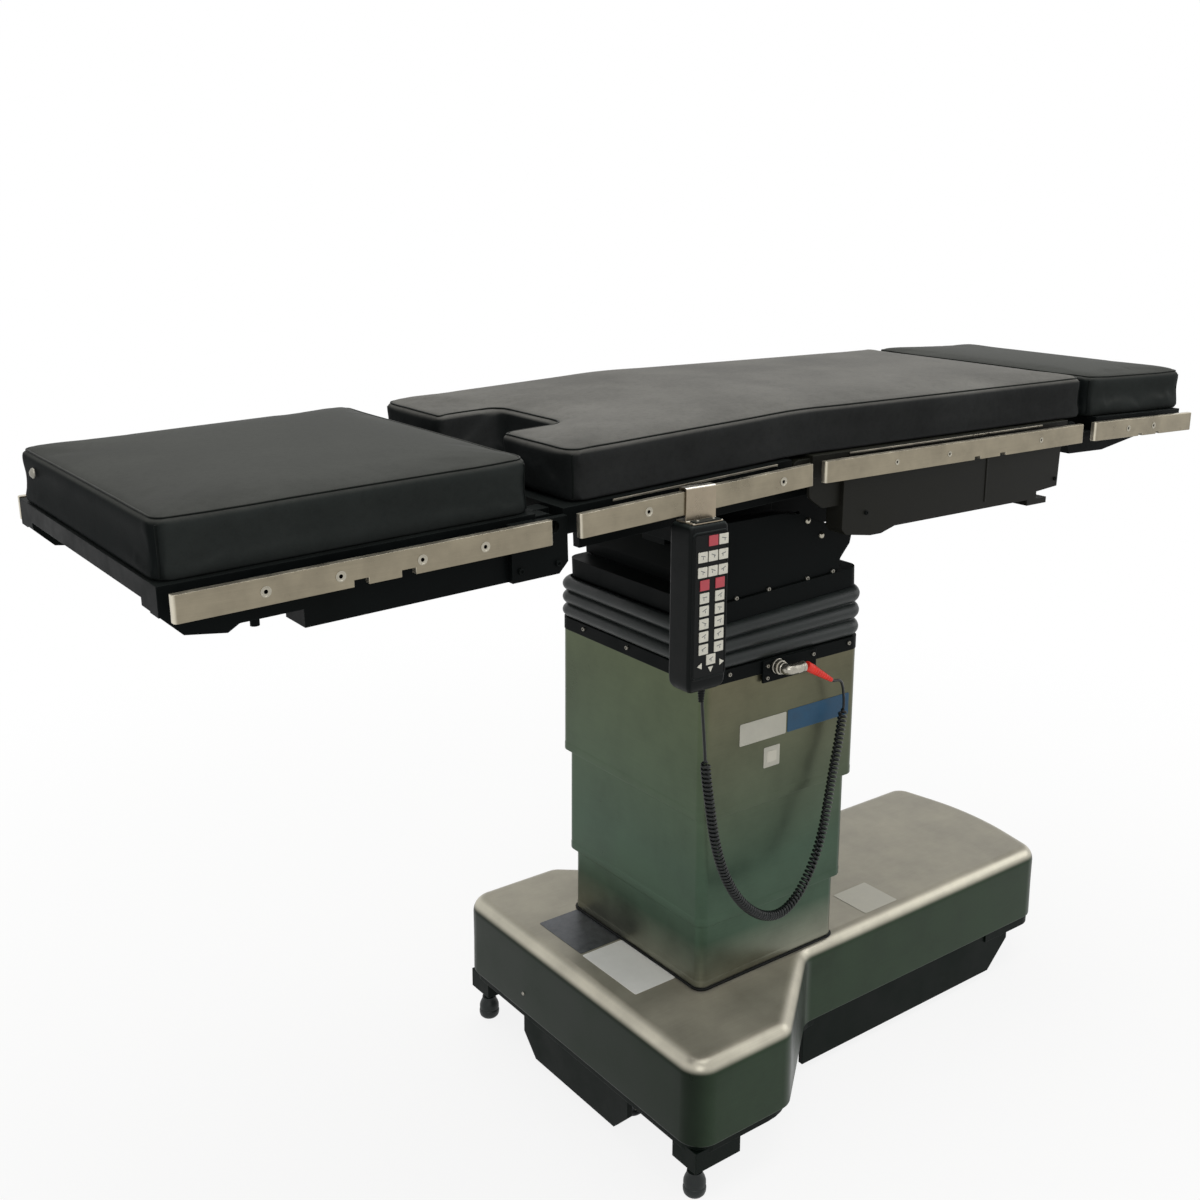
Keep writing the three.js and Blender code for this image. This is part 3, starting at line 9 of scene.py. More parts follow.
import json
import logging
import math
import random
from dataclasses import dataclass
from enum import Enum
from typing import Callable, Iterable, Sequence

import bmesh
import bpy
import numpy as np
from bpy.types import Material, Mesh, Node, NodeSocket, NodeTree, Object
from mathutils import Matrix, Vector
from mathutils.bvhtree import BVHTree

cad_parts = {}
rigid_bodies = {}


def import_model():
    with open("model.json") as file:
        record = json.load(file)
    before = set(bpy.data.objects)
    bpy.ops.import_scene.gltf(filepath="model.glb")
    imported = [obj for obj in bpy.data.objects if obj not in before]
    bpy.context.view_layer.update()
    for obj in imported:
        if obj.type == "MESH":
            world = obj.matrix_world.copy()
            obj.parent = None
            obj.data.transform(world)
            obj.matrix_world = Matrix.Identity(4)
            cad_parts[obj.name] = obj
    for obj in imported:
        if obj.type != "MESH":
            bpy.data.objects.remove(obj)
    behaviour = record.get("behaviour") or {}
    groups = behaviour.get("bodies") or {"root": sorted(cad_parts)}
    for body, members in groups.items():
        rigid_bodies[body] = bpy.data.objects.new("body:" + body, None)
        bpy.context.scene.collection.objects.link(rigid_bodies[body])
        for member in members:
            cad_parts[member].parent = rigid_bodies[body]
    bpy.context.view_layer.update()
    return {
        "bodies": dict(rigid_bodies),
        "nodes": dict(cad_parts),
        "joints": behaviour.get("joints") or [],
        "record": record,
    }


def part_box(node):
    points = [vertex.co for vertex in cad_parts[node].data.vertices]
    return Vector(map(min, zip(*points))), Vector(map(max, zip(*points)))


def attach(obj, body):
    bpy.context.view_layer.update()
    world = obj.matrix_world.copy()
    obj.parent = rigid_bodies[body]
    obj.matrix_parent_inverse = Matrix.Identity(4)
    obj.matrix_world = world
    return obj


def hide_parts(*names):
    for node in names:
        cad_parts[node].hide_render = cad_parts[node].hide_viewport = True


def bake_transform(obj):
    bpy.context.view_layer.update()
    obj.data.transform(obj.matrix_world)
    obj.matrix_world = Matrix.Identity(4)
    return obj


log = logging.getLogger("table")

MM = 0.001
PHOTO_SIDE = 1200
QUARTER = math.pi / 2
TURN = 2 * math.pi

Point = tuple[float, float, float]
Flat = tuple[float, float]
Shape = tuple[list[Sequence[float]], list[list[int]]]


# Small tools for nodes and colours


def linear(colour: str) -> tuple[float, float, float, float]:
    """Turns an sRGB hex colour to linear light.

    Args:
        colour: six hex digits after a hash.

    Returns:
        Red, green, blue and full alpha.
    """
    parts = [int(colour[i : i + 2], 16) / 255 for i in (1, 3, 5)]
    return (*[c / 12.92 if c <= 0.04045 else ((c + 0.055) / 1.055) ** 2.4 for c in parts], 1.0)


def add_node(tree: NodeTree, kind: str, inputs: dict | None = None, **settings) -> Node:
    """Adds one node with its settings and links.

    Args:
        tree: the node tree.
        kind: the node's type name.
        inputs: values, or output sockets to link, by input name or number.
        settings: the node's own properties.

    Returns:
        The new node.
    """
    node = tree.nodes.new(kind)
    for name, value in settings.items():
        setattr(node, name, value)
    for name, value in (inputs or {}).items():
        if isinstance(value, NodeSocket):
            tree.links.new(value, node.inputs[name])
        else:
            node.inputs[name].default_value = value
    return node


def new_tree(name: str, inputs: Iterable[tuple[str, str]]) -> tuple[NodeTree, bpy.types.NodeOutputs]:
    """Starts a geometry node tree.

    Args:
        name: the tree's name.
        inputs: each input's name and the kind of its socket.

    Returns:
        The tree, with one output for its geometry, and the sockets of its inputs.
    """
    tree = bpy.data.node_groups.new(name, "GeometryNodeTree")
    for label, kind in inputs:
        tree.interface.new_socket(name=label, in_out="INPUT", socket_type="NodeSocket" + kind)
    tree.interface.new_socket(name="Pieces", in_out="OUTPUT", socket_type="NodeSocketGeometry")
    return tree, tree.nodes.new("NodeGroupInput").outputs


class Grain(Enum):
    """How a surface was made, which sets its fine relief.

    The numbers stretch the relief along X, Y and Z. No two grains have the same, or they would be one.
    """

    BRUSHED_ALONG = (0.012, 1.0, 1.0)
    BRUSHED_ROUND = (0.014, 0.014, 1.0)
    PEBBLED = (1.0, 1.0, 1.0)
    PEEL = (0.98, 1.0, 1.0)
    SPARKED = (1.0, 0.98, 1.0)
    TURNED = (1.0, 1.0, 0.98)


@dataclass(frozen=True)
class Finish:
    """A real material and the process that shaped its surface.

    relief is the size of the fine relief's cells and depth its height. painted_top_light is a painted top light
    on faces that look up, painted_end_light painted shade and reflection on faces that look along the table, and
    painted_shoulder_highlight a painted highlight where a rounded edge turns down. painted_reflection_by_height
    gives painted reflections that show fully below a first height and not above a second. blotch is the size of
    the soft stains and spread their strength. edge is the radius at which sharp edges of the mesh still look
    rounded, and edge_highlight_and_wear what shows on them: a painted highlight, and rubbed wear.
    """

    name: str
    colour: str
    grain: Grain
    relief: float
    depth: float
    roughness: float
    metallic: float = 0.0
    # The next four colours are painted light: a top light, shade and reflection on the ends, reflections by
    # height and a highlight where an edge turns down.
    painted_top_light: str = ""
    painted_end_light: str = ""
    painted_reflection_by_height: tuple[tuple[str, float, float], ...] = ()
    painted_shoulder_highlight: str = ""
    blotch: float = 70.0
    spread: float = 0.18
    gloss_spread: float = 0.1
    edge: float = 0.0
    # A painted edge highlight, partly rubbed wear.
    edge_highlight_and_wear: str = ""
    specular: float = 0.5

    def make(self) -> Material:
        """Builds the material's node tree.

        Returns:
            The material.
        """
        material = bpy.data.materials.new(self.name)
        material.use_nodes = True
        material.diffuse_color = linear(self.colour)
        tree = material.node_tree
        shader = tree.nodes["Principled BSDF"]
        where = add_node(tree, "ShaderNodeTexCoord")
        at = where.outputs["Object"]
        relief = self._relief(tree, at)
        stains = add_node(
            tree, "ShaderNodeTexNoise",
            {"Vector": at, "Scale": 1 / (self.blotch * MM), "Detail": 5.0, "Roughness": 0.62},
        ).outputs["Fac"]
        swing, fine, rough = [
            add_node(
                tree, "ShaderNodeMapRange",
                {"Value": value, "From Min": low, "From Max": 1 - low, "To Min": mean - by, "To Max": mean + by},
            ).outputs["Result"]
            for value, low, mean, by in (
                (stains, 0.3, 1, self.spread), (relief, 0.2, 1, 0.5 * self.spread),
                (stains, 0.3, self.roughness, self.gloss_spread),
            )
        ]
        both = add_node(tree, "ShaderNodeMath", {0: swing, 1: fine}, operation="MULTIPLY").outputs[0]
        colour = add_node(
            tree, "ShaderNodeVectorMath", {0: self._tints(tree, where), "Scale": both}, operation="SCALE",
        ).outputs["Vector"]
        bump = add_node(tree, "ShaderNodeBump", {"Height": relief, "Distance": self.depth * MM, "Strength": 1.0})
        if self.edge:
            normal = add_node(tree, "ShaderNodeBevel", {"Radius": self.edge * MM}, samples=6).outputs["Normal"]
            tree.links.new(normal, bump.inputs["Normal"])
            # Lightens the edges: a painted highlight, partly rubbed wear.
            if self.edge_highlight_and_wear:
                colour = self._highlit_and_rubbed_edges(tree, colour, normal, stains)
        for name, value in (("Base Color", colour), ("Roughness", rough), ("Normal", bump.outputs["Normal"])):
            tree.links.new(value, shader.inputs[name])
        for name, value in (("Metallic", self.metallic), ("Specular IOR Level", self.specular)):
            shader.inputs[name].default_value = value
        return material

    def _relief(self, tree: NodeTree, at: NodeSocket) -> NodeSocket:
        """Adds the fine relief, from 0 to 1.

        Args:
            tree: the material's nodes.
            at: object coordinates.

        Returns:
            The socket with the relief's height.
        """
        scale = Vector(self.grain.value) / (self.relief * MM)
        stretched = add_node(
            tree, "ShaderNodeVectorMath", {0: at, 1: scale}, operation="MULTIPLY",
        ).outputs["Vector"]
        if self.grain is Grain.PEBBLED:
            cells = add_node(
                tree, "ShaderNodeTexVoronoi", {"Vector": stretched, "Scale": 1.0}, feature="SMOOTH_F1",
            ).outputs["Distance"]
            soft = add_node(
                tree, "ShaderNodeTexNoise", {"Vector": stretched, "Scale": 0.22, "Detail": 3.0},
            ).outputs["Fac"]
            return add_node(
                tree, "ShaderNodeMath", {0: cells, 1: 0.55, 2: soft}, operation="MULTIPLY_ADD",
            ).outputs[0]
        detail = 4.0 if self.grain in (Grain.BRUSHED_ALONG, Grain.BRUSHED_ROUND) else 1.5
        return add_node(
            tree, "ShaderNodeTexNoise", {"Vector": stretched, "Scale": 1.0, "Detail": detail, "Roughness": 0.7},
        ).outputs["Fac"]

    def _tints(self, tree: NodeTree, where: Node) -> NodeSocket:
        """Mixes in the painted light by the way that a face looks and by its height.

        Args:
            tree: the material's nodes.
            where: the texture coordinate node.

        Returns:
            The socket with the colour.
        """
        base = add_node(tree, "ShaderNodeRGB")
        base.outputs[0].default_value = linear(self.colour)
        colour = base.outputs[0]
        way = add_node(tree, "ShaderNodeSeparateXYZ", {0: where.outputs["Normal"]}).outputs
        along = add_node(tree, "ShaderNodeMath", {0: way["X"]}, operation="ABSOLUTE").outputs[0]
        height = add_node(tree, "ShaderNodeSeparateXYZ", {0: where.outputs["Object"]}).outputs["Z"]
        # Each layer of painted light: its colour, what it follows, where it starts and is full, and how it comes
        # in.
        layers = (
            (self.painted_end_light, along, ((0.1, 0.95),), "SMOOTHSTEP"),
            *((tint, height, ((none * MM, full * MM),), "LINEAR") for tint, full, none in self.painted_reflection_by_height),
            (self.painted_top_light, way["Z"], ((0.15, 0.92),), "SMOOTHSTEP"),
            (self.painted_shoulder_highlight, way["Z"], ((0.22, 0.62), (0.995, 0.8)), "SMOOTHSTEP"),
        )
        for tint, value, spans, curve in layers:
            if not tint:
                continue
            shares = [
                add_node(
                    tree, "ShaderNodeMapRange", {"Value": value, "From Min": none, "From Max": full},
                    interpolation_type=curve,
                ).outputs["Result"]
                for none, full in spans
            ]
            share = shares[0]
            for other in shares[1:]:
                share = add_node(tree, "ShaderNodeMath", {0: share, 1: other}, operation="MULTIPLY").outputs[0]
            colour = add_node(
                tree, "ShaderNodeMix", {0: share, 6: colour, 7: linear(tint)}, data_type="RGBA",
            ).outputs[2]
        return colour

    def _highlit_and_rubbed_edges(self, tree: NodeTree, colour: NodeSocket, normal: NodeSocket, stains: NodeSocket) -> NodeSocket:
        """Lightens the edges: a painted highlight, and rubbed wear where hands and straps rub them.

        Args:
            tree: the material's nodes.
            colour: the colour so far.
            normal: the normal with softened edges.
            stains: soft noise that breaks the lightened line up.

        Returns:
            The socket with the colour.
        """
        flat = add_node(tree, "ShaderNodeNewGeometry").outputs["Normal"]
        same = add_node(
            tree, "ShaderNodeVectorMath", {0: flat, 1: normal}, operation="DOT_PRODUCT",
        ).outputs["Value"]
        edge = add_node(
            tree, "ShaderNodeMapRange", {"Value": same, "From Min": 0.97, "From Max": 0.75},
        ).outputs["Result"]
        share = add_node(tree, "ShaderNodeMath", {0: edge, 1: stains}, operation="MULTIPLY").outputs[0]
        return add_node(
            tree, "ShaderNodeMix", {0: share, 6: colour, 7: linear(self.edge_highlight_and_wear)}, data_type="RGBA",
        ).outputs[2]


class Palette:
    """Every finish on the table, each made once."""

    # Brushed stainless sheet: fine lines round the column, with painted reflections: warm at the head, olive
    # towards the foot and grey right at it, green on faces that look along the table, pale on those that look
    # up.
    COLUMN_SHEET = Finish(
        "stainless_sheet_brushed_round", "#645f4b", Grain.BRUSHED_ROUND, 0.9, 0.012, 0.36, 0.92,
        painted_top_light="#aaa493", painted_end_light="#515840",
        painted_reflection_by_height=(("#405243", 430, 800), ("#7b7c6e", 246, 318)), blotch=95, spread=0.18, gloss_spread=0.09,
    )
    # The same sheet, brushed along the base: dark green sides that are a painted reflection, darker painted
    # shade on its ends, a painted top light and a painted highlight along the rounded edge.
    BASE_SHEET = Finish(
        "stainless_sheet_brushed_along", "#2f3d2e", Grain.BRUSHED_ALONG, 1.0, 0.014, 0.36, 0.38,
        painted_top_light="#a19c8d", painted_end_light="#1a241a", painted_shoulder_highlight="#cbc6b5", blotch=120, spread=0.17,
        gloss_spread=0.09, specular=0.12,
    )
    # Pressed stainless strip: a painted highlight where it faces up, smooth, with faint rolling marks.
    HOOK_STRIP = Finish(
        "stainless_strip_pressed", "#958a78", Grain.PEEL, 2.0, 0.008, 0.3, 0.92,
        painted_top_light="#e6e2d6", blotch=30, spread=0.1, gloss_spread=0.06,
    )
    # Ground stainless bar and rolled trim: satin lines along the rail and along the deck's edge; painted
    # highlights on the bar's top and ends.
    RAIL_BAR = Finish(
        "stainless_bar_ground", "#8a8270", Grain.BRUSHED_ALONG, 0.8, 0.01, 0.34, 0.9,
        painted_top_light="#bdb6a4", painted_end_light="#cfc8b6", blotch=45, spread=0.16,
    )
    TRIM = Finish(
        "stainless_trim_rolled", "#b0aa9b", Grain.BRUSHED_ALONG, 0.8, 0.008, 0.34, 0.9, blotch=60, spread=0.14,
    )
    # Turned metal: polished rod, nickel plate with stains, and duller zinc on the screws.
    BRIGHT_STEEL = Finish(
        "stainless_rod_polished", "#a5a092", Grain.TURNED, 0.9, 0.006, 0.26, 0.95, blotch=22, spread=0.1,
    )
    NICKEL = Finish(
        "nickel_plated_brass", "#a8a499", Grain.TURNED, 0.7, 0.006, 0.26, 0.95, blotch=14, spread=0.2,
    )
    ZINC = Finish("zinc_plated_steel", "#8f8c83", Grain.TURNED, 0.6, 0.006, 0.38, 0.9, blotch=5, spread=0.16)
    # Powder coat on castings and welded plate: a fine orange peel, with a painted top light, and paler along the
    # edges as a painted highlight and rubbed wear.
    POWDER_COAT = Finish(
        "powder_coat_black", "#0c0f0f", Grain.PEEL, 2.2, 0.05, 0.5,
        painted_top_light="#171a19", blotch=80, spread=0.22, edge=1.6, edge_highlight_and_wear="#2c3130", specular=0.04,
    )
    HOUSING_COAT = Finish(
        "powder_coat_graphite", "#1a1a16", Grain.PEEL, 2.2, 0.05, 0.46,
        painted_top_light="#24251f", blotch=110, spread=0.16, edge=1.6, edge_highlight_and_wear="#3a3b33", specular=0.1,
    )
    BASE_COAT = Finish(
        "powder_coat_base", "#0a120e", Grain.PEEL, 2.2, 0.05, 0.5,
        blotch=80, spread=0.2, edge=2.0, edge_highlight_and_wear="#1e2823", specular=0.07,
    )
    # Calendered vinyl over foam: a fine pebble, satin, greyer on top with a painted top light and darker on its
    # ends with painted shade.
    VINYL = Finish(
        "vinyl_cover_calendered", "#2b2e2d", Grain.PEBBLED, 1.7, 0.09, 0.46,
        painted_top_light="#454643", painted_end_light="#151818", blotch=150, spread=0.18, gloss_spread=0.07, specular=0.006,
    )
    # The same vinyl where people lie on it most: wider stains, a paler painted top light and painted shade on
    # its ends.
    VINYL_WORN = Finish(
        "vinyl_cover_worn", "#2c2d2d", Grain.PEBBLED, 1.7, 0.09, 0.5,
        painted_top_light="#63625e", painted_end_light="#1c1e1e", blotch=190, spread=0.26, gloss_spread=0.08, specular=0.006,
    )
    # The welt: a painted top light on its upper side.
    WELT = Finish(
        "vinyl_welt_stitched", "#161918", Grain.PEBBLED, 1.2, 0.05, 0.42,
        painted_top_light="#3a3b38", blotch=40, spread=0.14, specular=0.02,
    )
    # Rubber, moulded and extruded: matt, with a bloom that dulls it; the moulded rubber has a faint painted top
    # light.
    RUBBER = Finish(
        "rubber_moulded_bloomed", "#1f2423", Grain.SPARKED, 0.9, 0.03, 0.42,
        painted_top_light="#252a29", blotch=60, spread=0.2, specular=0.3,
    )
    SEAL = Finish(
        "rubber_seal_extruded", "#0d0f0e", Grain.SPARKED, 0.8, 0.02, 0.6, blotch=30, spread=0.15, specular=0.15,
    )
    TYRE = Finish(
        "rubber_tyre_grey", "#3d4042", Grain.SPARKED, 1.1, 0.05, 0.7, blotch=20, spread=0.2, specular=0.2,
    )
    # Moulded ABS with a spark-eroded grain: dull black, with a painted top light and edges lightened by a
    # painted highlight and rubbed wear.
    CASE = Finish(
        "abs_moulded_sparked", "#0b0e0e", Grain.SPARKED, 0.7, 0.03, 0.42,
        painted_top_light="#262b2a", blotch=30, spread=0.14, edge=0.8, edge_highlight_and_wear="#242929", specular=0.09,
    )
    # The keypad: smooth printed film, soft silicone keys and flat ink on them.
    FILM = Finish(
        "polyester_film_printed", "#0d0f0f", Grain.SPARKED, 0.5, 0.008, 0.4,
        blotch=20, spread=0.1, specular=0.12,
    )
    KEY_MARK = Finish("ink_printed_grey", "#5b6064", Grain.SPARKED, 0.5, 0.004, 0.5, blotch=9, spread=0.1)
    KEY_WHITE = Finish("silicone_key_white", "#d6d3c6", Grain.SPARKED, 0.6, 0.01, 0.45, blotch=9, spread=0.07)
    KEY_RED = Finish("silicone_key_red", "#b5424c", Grain.SPARKED, 0.6, 0.01, 0.45, blotch=9, spread=0.08)
    # The cord's satin jacket and its moulded red strain relief.
    CORD = Finish(
        "polyurethane_cord_extruded", "#0f1313", Grain.SPARKED, 0.8, 0.01, 0.36,
        blotch=12, spread=0.14, specular=0.3,
    )
    BOOT = Finish(
        "pvc_moulded_red", "#e8362a", Grain.SPARKED, 0.9, 0.02, 0.4, blotch=14, spread=0.12, specular=0.25,
    )
    # Blank plates: printed polyester and etched aluminium, with nothing on them.
    PLATE_WHITE = Finish(
        "plate_polyester_white", "#b6b4a7", Grain.PEEL, 1.0, 0.01, 0.42, blotch=26, spread=0.06,
    )
    # The same white plate made brighter, painted light that makes up for the shade under the table top.
    PLATE_WHITE_PAINTED_LIT = Finish(
        "plate_polyester_matt", "#fdfcf6", Grain.PEEL, 1.0, 0.01, 0.42, blotch=26, spread=0.03,
    )
    PLATE_BLUE = Finish(
        "plate_polyester_blue", "#254c68", Grain.PEEL, 1.0, 0.01, 0.4, blotch=26, spread=0.12, specular=0.25,
    )
    PLATE_DARK = Finish(
        "plate_aluminium_etched", "#55575a", Grain.PEEL, 1.0, 0.01, 0.4, 0.6,
        blotch=14, spread=0.3, specular=0.25,
    )
    PLATE_CLEAR = Finish(
        "plate_polyester_frosted", "#c4c1b4", Grain.PEEL, 1.0, 0.01, 0.6, 0.3, blotch=40, spread=0.06,
    )
    # Sprayed enamel on the pump and the wheels' hubs: smooth, with a slight peel.
    ENAMEL = Finish(
        "enamel_sprayed_grey", "#2c3233", Grain.PEEL, 1.8, 0.03, 0.38,
        blotch=50, spread=0.14, edge=1.2, specular=0.3,
    )

    def __init__(self) -> None:
        """Starts with nothing made."""
        self._made: dict[str, Material] = {}

    def __call__(self, finish: Finish) -> Material:
        """Gives the material of a finish, made on first use."""
        if finish.name not in self._made:
            self._made[finish.name] = finish.make()
        return self._made[finish.name]


PAINT = Palette()


# Shapes: lists of points and faces, in millimetres


def rings_of(rings: Sequence[Sequence[Point]], loop: bool = False) -> Shape:
    """Joins rings of equally many points to a skin.

    Args:
        rings: the rings, in order.
        loop: True if the last ring joins the first. Otherwise a face closes each end.

    Returns:
        Points and faces.
    """
    sides = len(rings[0])
    points = [p for ring in rings for p in ring]
    faces: list[list[int]] = []
    for r in range(len(rings) if loop else len(rings) - 1):
        here, there = r * sides, ((r + 1) % len(rings)) * sides
        for s in range(sides):
            n = (s + 1) % sides
            faces.append([here + s, here + n, there + n, there + s])
    if not loop:
        last = (len(rings) - 1) * sides
        faces += [list(range(sides))[::-1], [last + s for s in range(sides)]]
    return points, faces


def lathe(profile: Sequence[Flat], sides: int, centre: Point, axis: str = "z", loop: bool = False) -> Shape:
    """Turns a profile of (radius, distance along the axis) about an axis.

    Args:
        profile: the points of the profile.
        sides: how many sides the turned form has.
        centre: a point on the axis, from which the distance counts.
        axis: x, y or z.
        loop: True for a profile that closes on itself.

    Returns:
        Points and faces.
    """
    rings = []
    for radius, along in profile:
        ring = []
        for s in range(sides):
            a, b = radius * math.cos(TURN * s / sides), radius * math.sin(TURN * s / sides)
            local = {"x": (along, a, b), "y": (b, along, a), "z": (a, b, along)}[axis]
            ring.append(tuple(c + o for c, o in zip(local, centre)))
        rings.append(ring)
    return rings_of(rings, loop)


def prism(outline: Sequence[Flat], low: float, high: float, axis: str = "z") -> Shape:
    """Pushes a flat outline along an axis.

    Args:
        outline: the outline's points, in the two other axes' order x, y, z.
        low: where the form starts on the axis.
        high: where it ends.
        axis: x, y or z.

    Returns:
        Points and faces.
    """
    at: Callable[[float, float, float], Point] = {
        "x": lambda a, b, c: (c, a, b), "y": lambda a, b, c: (a, c, b), "z": lambda a, b, c: (a, b, c),
    }[axis]
    return rings_of([[at(a, b, c) for a, b in outline] for c in (low, high)])


def box(xs: Flat, ys: Flat, zs: Flat) -> Shape:
    """Makes a block from its lower and upper limits on each axis."""
    return prism([(xs[0], ys[0]), (xs[1], ys[0]), (xs[1], ys[1]), (xs[0], ys[1])], zs[0], zs[1])


def rounded_rectangle(
    half_x: float, half_y: float, radius: float, steps: int = 6, centre: Flat = (0, 0),
) -> list[Flat]:
    """Gives a rounded rectangle's points.

    Args:
        half_x: half its width.
        half_y: half its depth.
        radius: its corners' radius.
        steps: how many steps each corner has.
        centre: its middle.

    Returns:
        The points, counterclockwise.
    """
    points = []
    for quarter, (sx, sy) in enumerate(((1, 1), (-1, 1), (-1, -1), (1, -1))):
        x, y = centre[0] + sx * (half_x - radius), centre[1] + sy * (half_y - radius)
        for s in range(steps + 1):
            turn = (quarter + s / steps) * QUARTER
            points.append((x + radius * math.cos(turn), y + radius * math.sin(turn)))
    return points


def plate_outline(a: Flat, b: Flat, radius: float) -> list[Flat]:
    """Gives the outline of a plate from its lower and upper limits on the two axes."""
    return rounded_rectangle((a[1] - a[0]) / 2, (b[1] - b[0]) / 2, radius, 4, (sum(a) / 2, sum(b) / 2))


def tube(path: Sequence[Vector], radius: float | Sequence[float], sides: int, loop: bool = False) -> Shape:
    """Sweeps a round section along a line without twist.

    Args:
        path: the line's points.
        radius: one radius, or one for each point.
        sides: how many sides the section has.
        loop: True for a closed line.

    Returns:
        Points and faces.
    """
    count = len(path)
    radii = [radius] * count if isinstance(radius, (int, float)) else list(radius)
    across: Vector | None = None
    rings = []
    for i, point in enumerate(path):
        before = path[i - 1] if i or loop else path[0]
        after = path[(i + 1) % count] if i < count - 1 or loop else path[-1]
        ahead = (after - before).normalized()
        if across is None:
            across = ahead.orthogonal()
        across = (across - ahead * across.dot(ahead)).normalized()
        up = ahead.cross(across)
        rings.append([
            tuple(point + (across * math.cos(TURN * s / sides) + up * math.sin(TURN * s / sides)) * radii[i])
            for s in range(sides)
        ])
    return rings_of(rings, loop)


@dataclass(frozen=True)
class Outline:
    """A closed plan with rounded corners, given by its corners counterclockwise as (x, y, radius)."""

    corners: tuple[Point, ...]
    arc_steps: int = 6
    spacing: float = 60.0

    def ring(self, inset: float) -> list[Flat]:
        """Gives the outline's points.

        Args:
            inset: how far they are moved inwards.

        Returns:
            The points, counterclockwise, equally many at every inset.
        """
        count = len(self.corners)
        points = [Vector(c[:2]) for c in self.corners]
        ahead = [(points[(i + 1) % count] - points[i]).normalized() for i in range(count)]
        outward = [Vector((d.y, -d.x)) for d in ahead]
        arcs: list[list[Vector]] = []
        for i in range(count):
            d0, d1, n0, n1 = ahead[i - 1], ahead[i], outward[i - 1], outward[i]
            turn = math.atan2(d0.x * d1.y - d0.y * d1.x, d0.dot(d1))
            side = 1 if turn > 0 else -1
            corner = points[i] - (n0 + n1) * (inset / (1 + n0.dot(n1)))
            radius = max(0.4, self.corners[i][2] - side * inset)
            start = corner - d0 * (radius * math.tan(abs(turn) / 2))
            centre = start - n0 * (radius * side)
            arc = []
            for s in range(self.arc_steps + 1):
                a = turn * s / self.arc_steps
                c, w = math.cos(a), math.sin(a)
                arc.append(centre + Vector((n0.x * c - n0.y * w, n0.x * w + n0.y * c)) * (radius * side))
            arcs.append(arc)
        ring: list[Flat] = []
        for i in range(count):
            ring += [tuple(p) for p in arcs[i]]
            span = (points[(i + 1) % count] - points[i]).length
            pieces = max(1, round(span / self.spacing))
            start, end = arcs[i][-1], arcs[(i + 1) % count][0]
            ring += [tuple(start.lerp(end, s / pieces)) for s in range(1, pieces)]
        return ring


class Form:
    """A piece in the making, gathered from closed shapes in millimetres, each with its finish."""

    def __init__(self) -> None:
        """Starts empty."""
        self.mesh = bmesh.new()
        self.finishes: list[Finish] = []

    def add(
        self, shape: Shape, finish: Finish, at: Matrix | None = None, bevel: float = 0.0, segments: int = 2,
        only: Callable[[Vector, Vector], bool] | None = None, corner: float = 0.0,
    ) -> "Form":
        """Adds a closed shape.

        Args:
            shape: its points and faces.
            finish: its finish.
            at: where it goes, in millimetres, for a shape given in a section's own frame.
            bevel: the width of its edges' rounding.
            segments: how many steps the rounding has.
            only: picks the edges that are first rounded by corner.
            corner: the wider rounding of those edges.

        Returns:
            This form.
        """
        part = bmesh.new()
        points = [part.verts.new(p) for p in shape[0]]
        for face in shape[1]:
            part.faces.new([points[i] for i in face])
        bmesh.ops.remove_doubles(part, verts=part.verts[:], dist=1e-4)
        bmesh.ops.recalc_face_normals(part, faces=part.faces[:])
        rounding = {"profile": 0.5, "affect": "EDGES", "clamp_overlap": True}
        if only and corner:
            picked = [e for e in part.edges if only(e.verts[0].co, e.verts[1].co)]
            bmesh.ops.bevel(part, geom=picked, offset=corner, segments=5, **rounding)
        if bevel:
            sharp = [
                e for e in part.edges if len(e.link_faces) == 2 and e.calc_face_angle(0.0) > math.radians(32)
            ]
            bmesh.ops.bevel(part, geom=sharp, offset=bevel, segments=segments, **rounding)
        if at:
            part.transform(at)
        if finish not in self.finishes:
            self.finishes.append(finish)
        for face in part.faces:
            face.material_index = self.finishes.index(finish)
        scratch = bpy.data.meshes.new("scratch")
        part.to_mesh(scratch)
        part.free()
        self.mesh.from_mesh(scratch)
        bpy.data.meshes.remove(scratch)
        return self

    def made(self, name: str, crease: float = 38.0) -> Object:
        """Turns the form into an object in metres, at the origin.

        Args:
            name: the piece's name.
            crease: the angle in degrees above which an edge stays sharp.

        Returns:
            The object, with smooth faces and a material for each finish.
        """
        data = bpy.data.meshes.new(name)
        self.mesh.transform(Matrix.Scale(MM, 4))
        self.mesh.to_mesh(data)
        self.mesh.free()
        for finish in self.finishes:
            data.materials.append(PAINT(finish))
        data.shade_smooth()
        data.set_sharp_from_angle(angle=math.radians(crease))
        piece = new_object(name, data)
        weighted = piece.modifiers.new("weighted", "WEIGHTED_NORMAL")
        weighted.keep_sharp = True
        return settled(piece)


def new_object(name: str, data: bpy.types.ID) -> Object:
    """Puts a new object into the scene.

    Args:
        name: its name.
        data: its mesh, lamp or camera.

    Returns:
        The object.
    """
    made = bpy.data.objects.new(name, data)
    bpy.context.scene.collection.objects.link(made)
    return made


def settled(piece: Object) -> Object:
    """Applies every modifier of a piece.

    Args:
        piece: the piece.

    Returns:
        The same piece, with a plain mesh.
    """
    graph = bpy.context.evaluated_depsgraph_get()
    data = bpy.data.meshes.new_from_object(
        piece.evaluated_get(graph), preserve_all_data_layers=True, depsgraph=graph,
    )
    piece.modifiers.clear()
    old, piece.data = piece.data, data
    bpy.data.meshes.remove(old)
    data.name = piece.name
    return piece


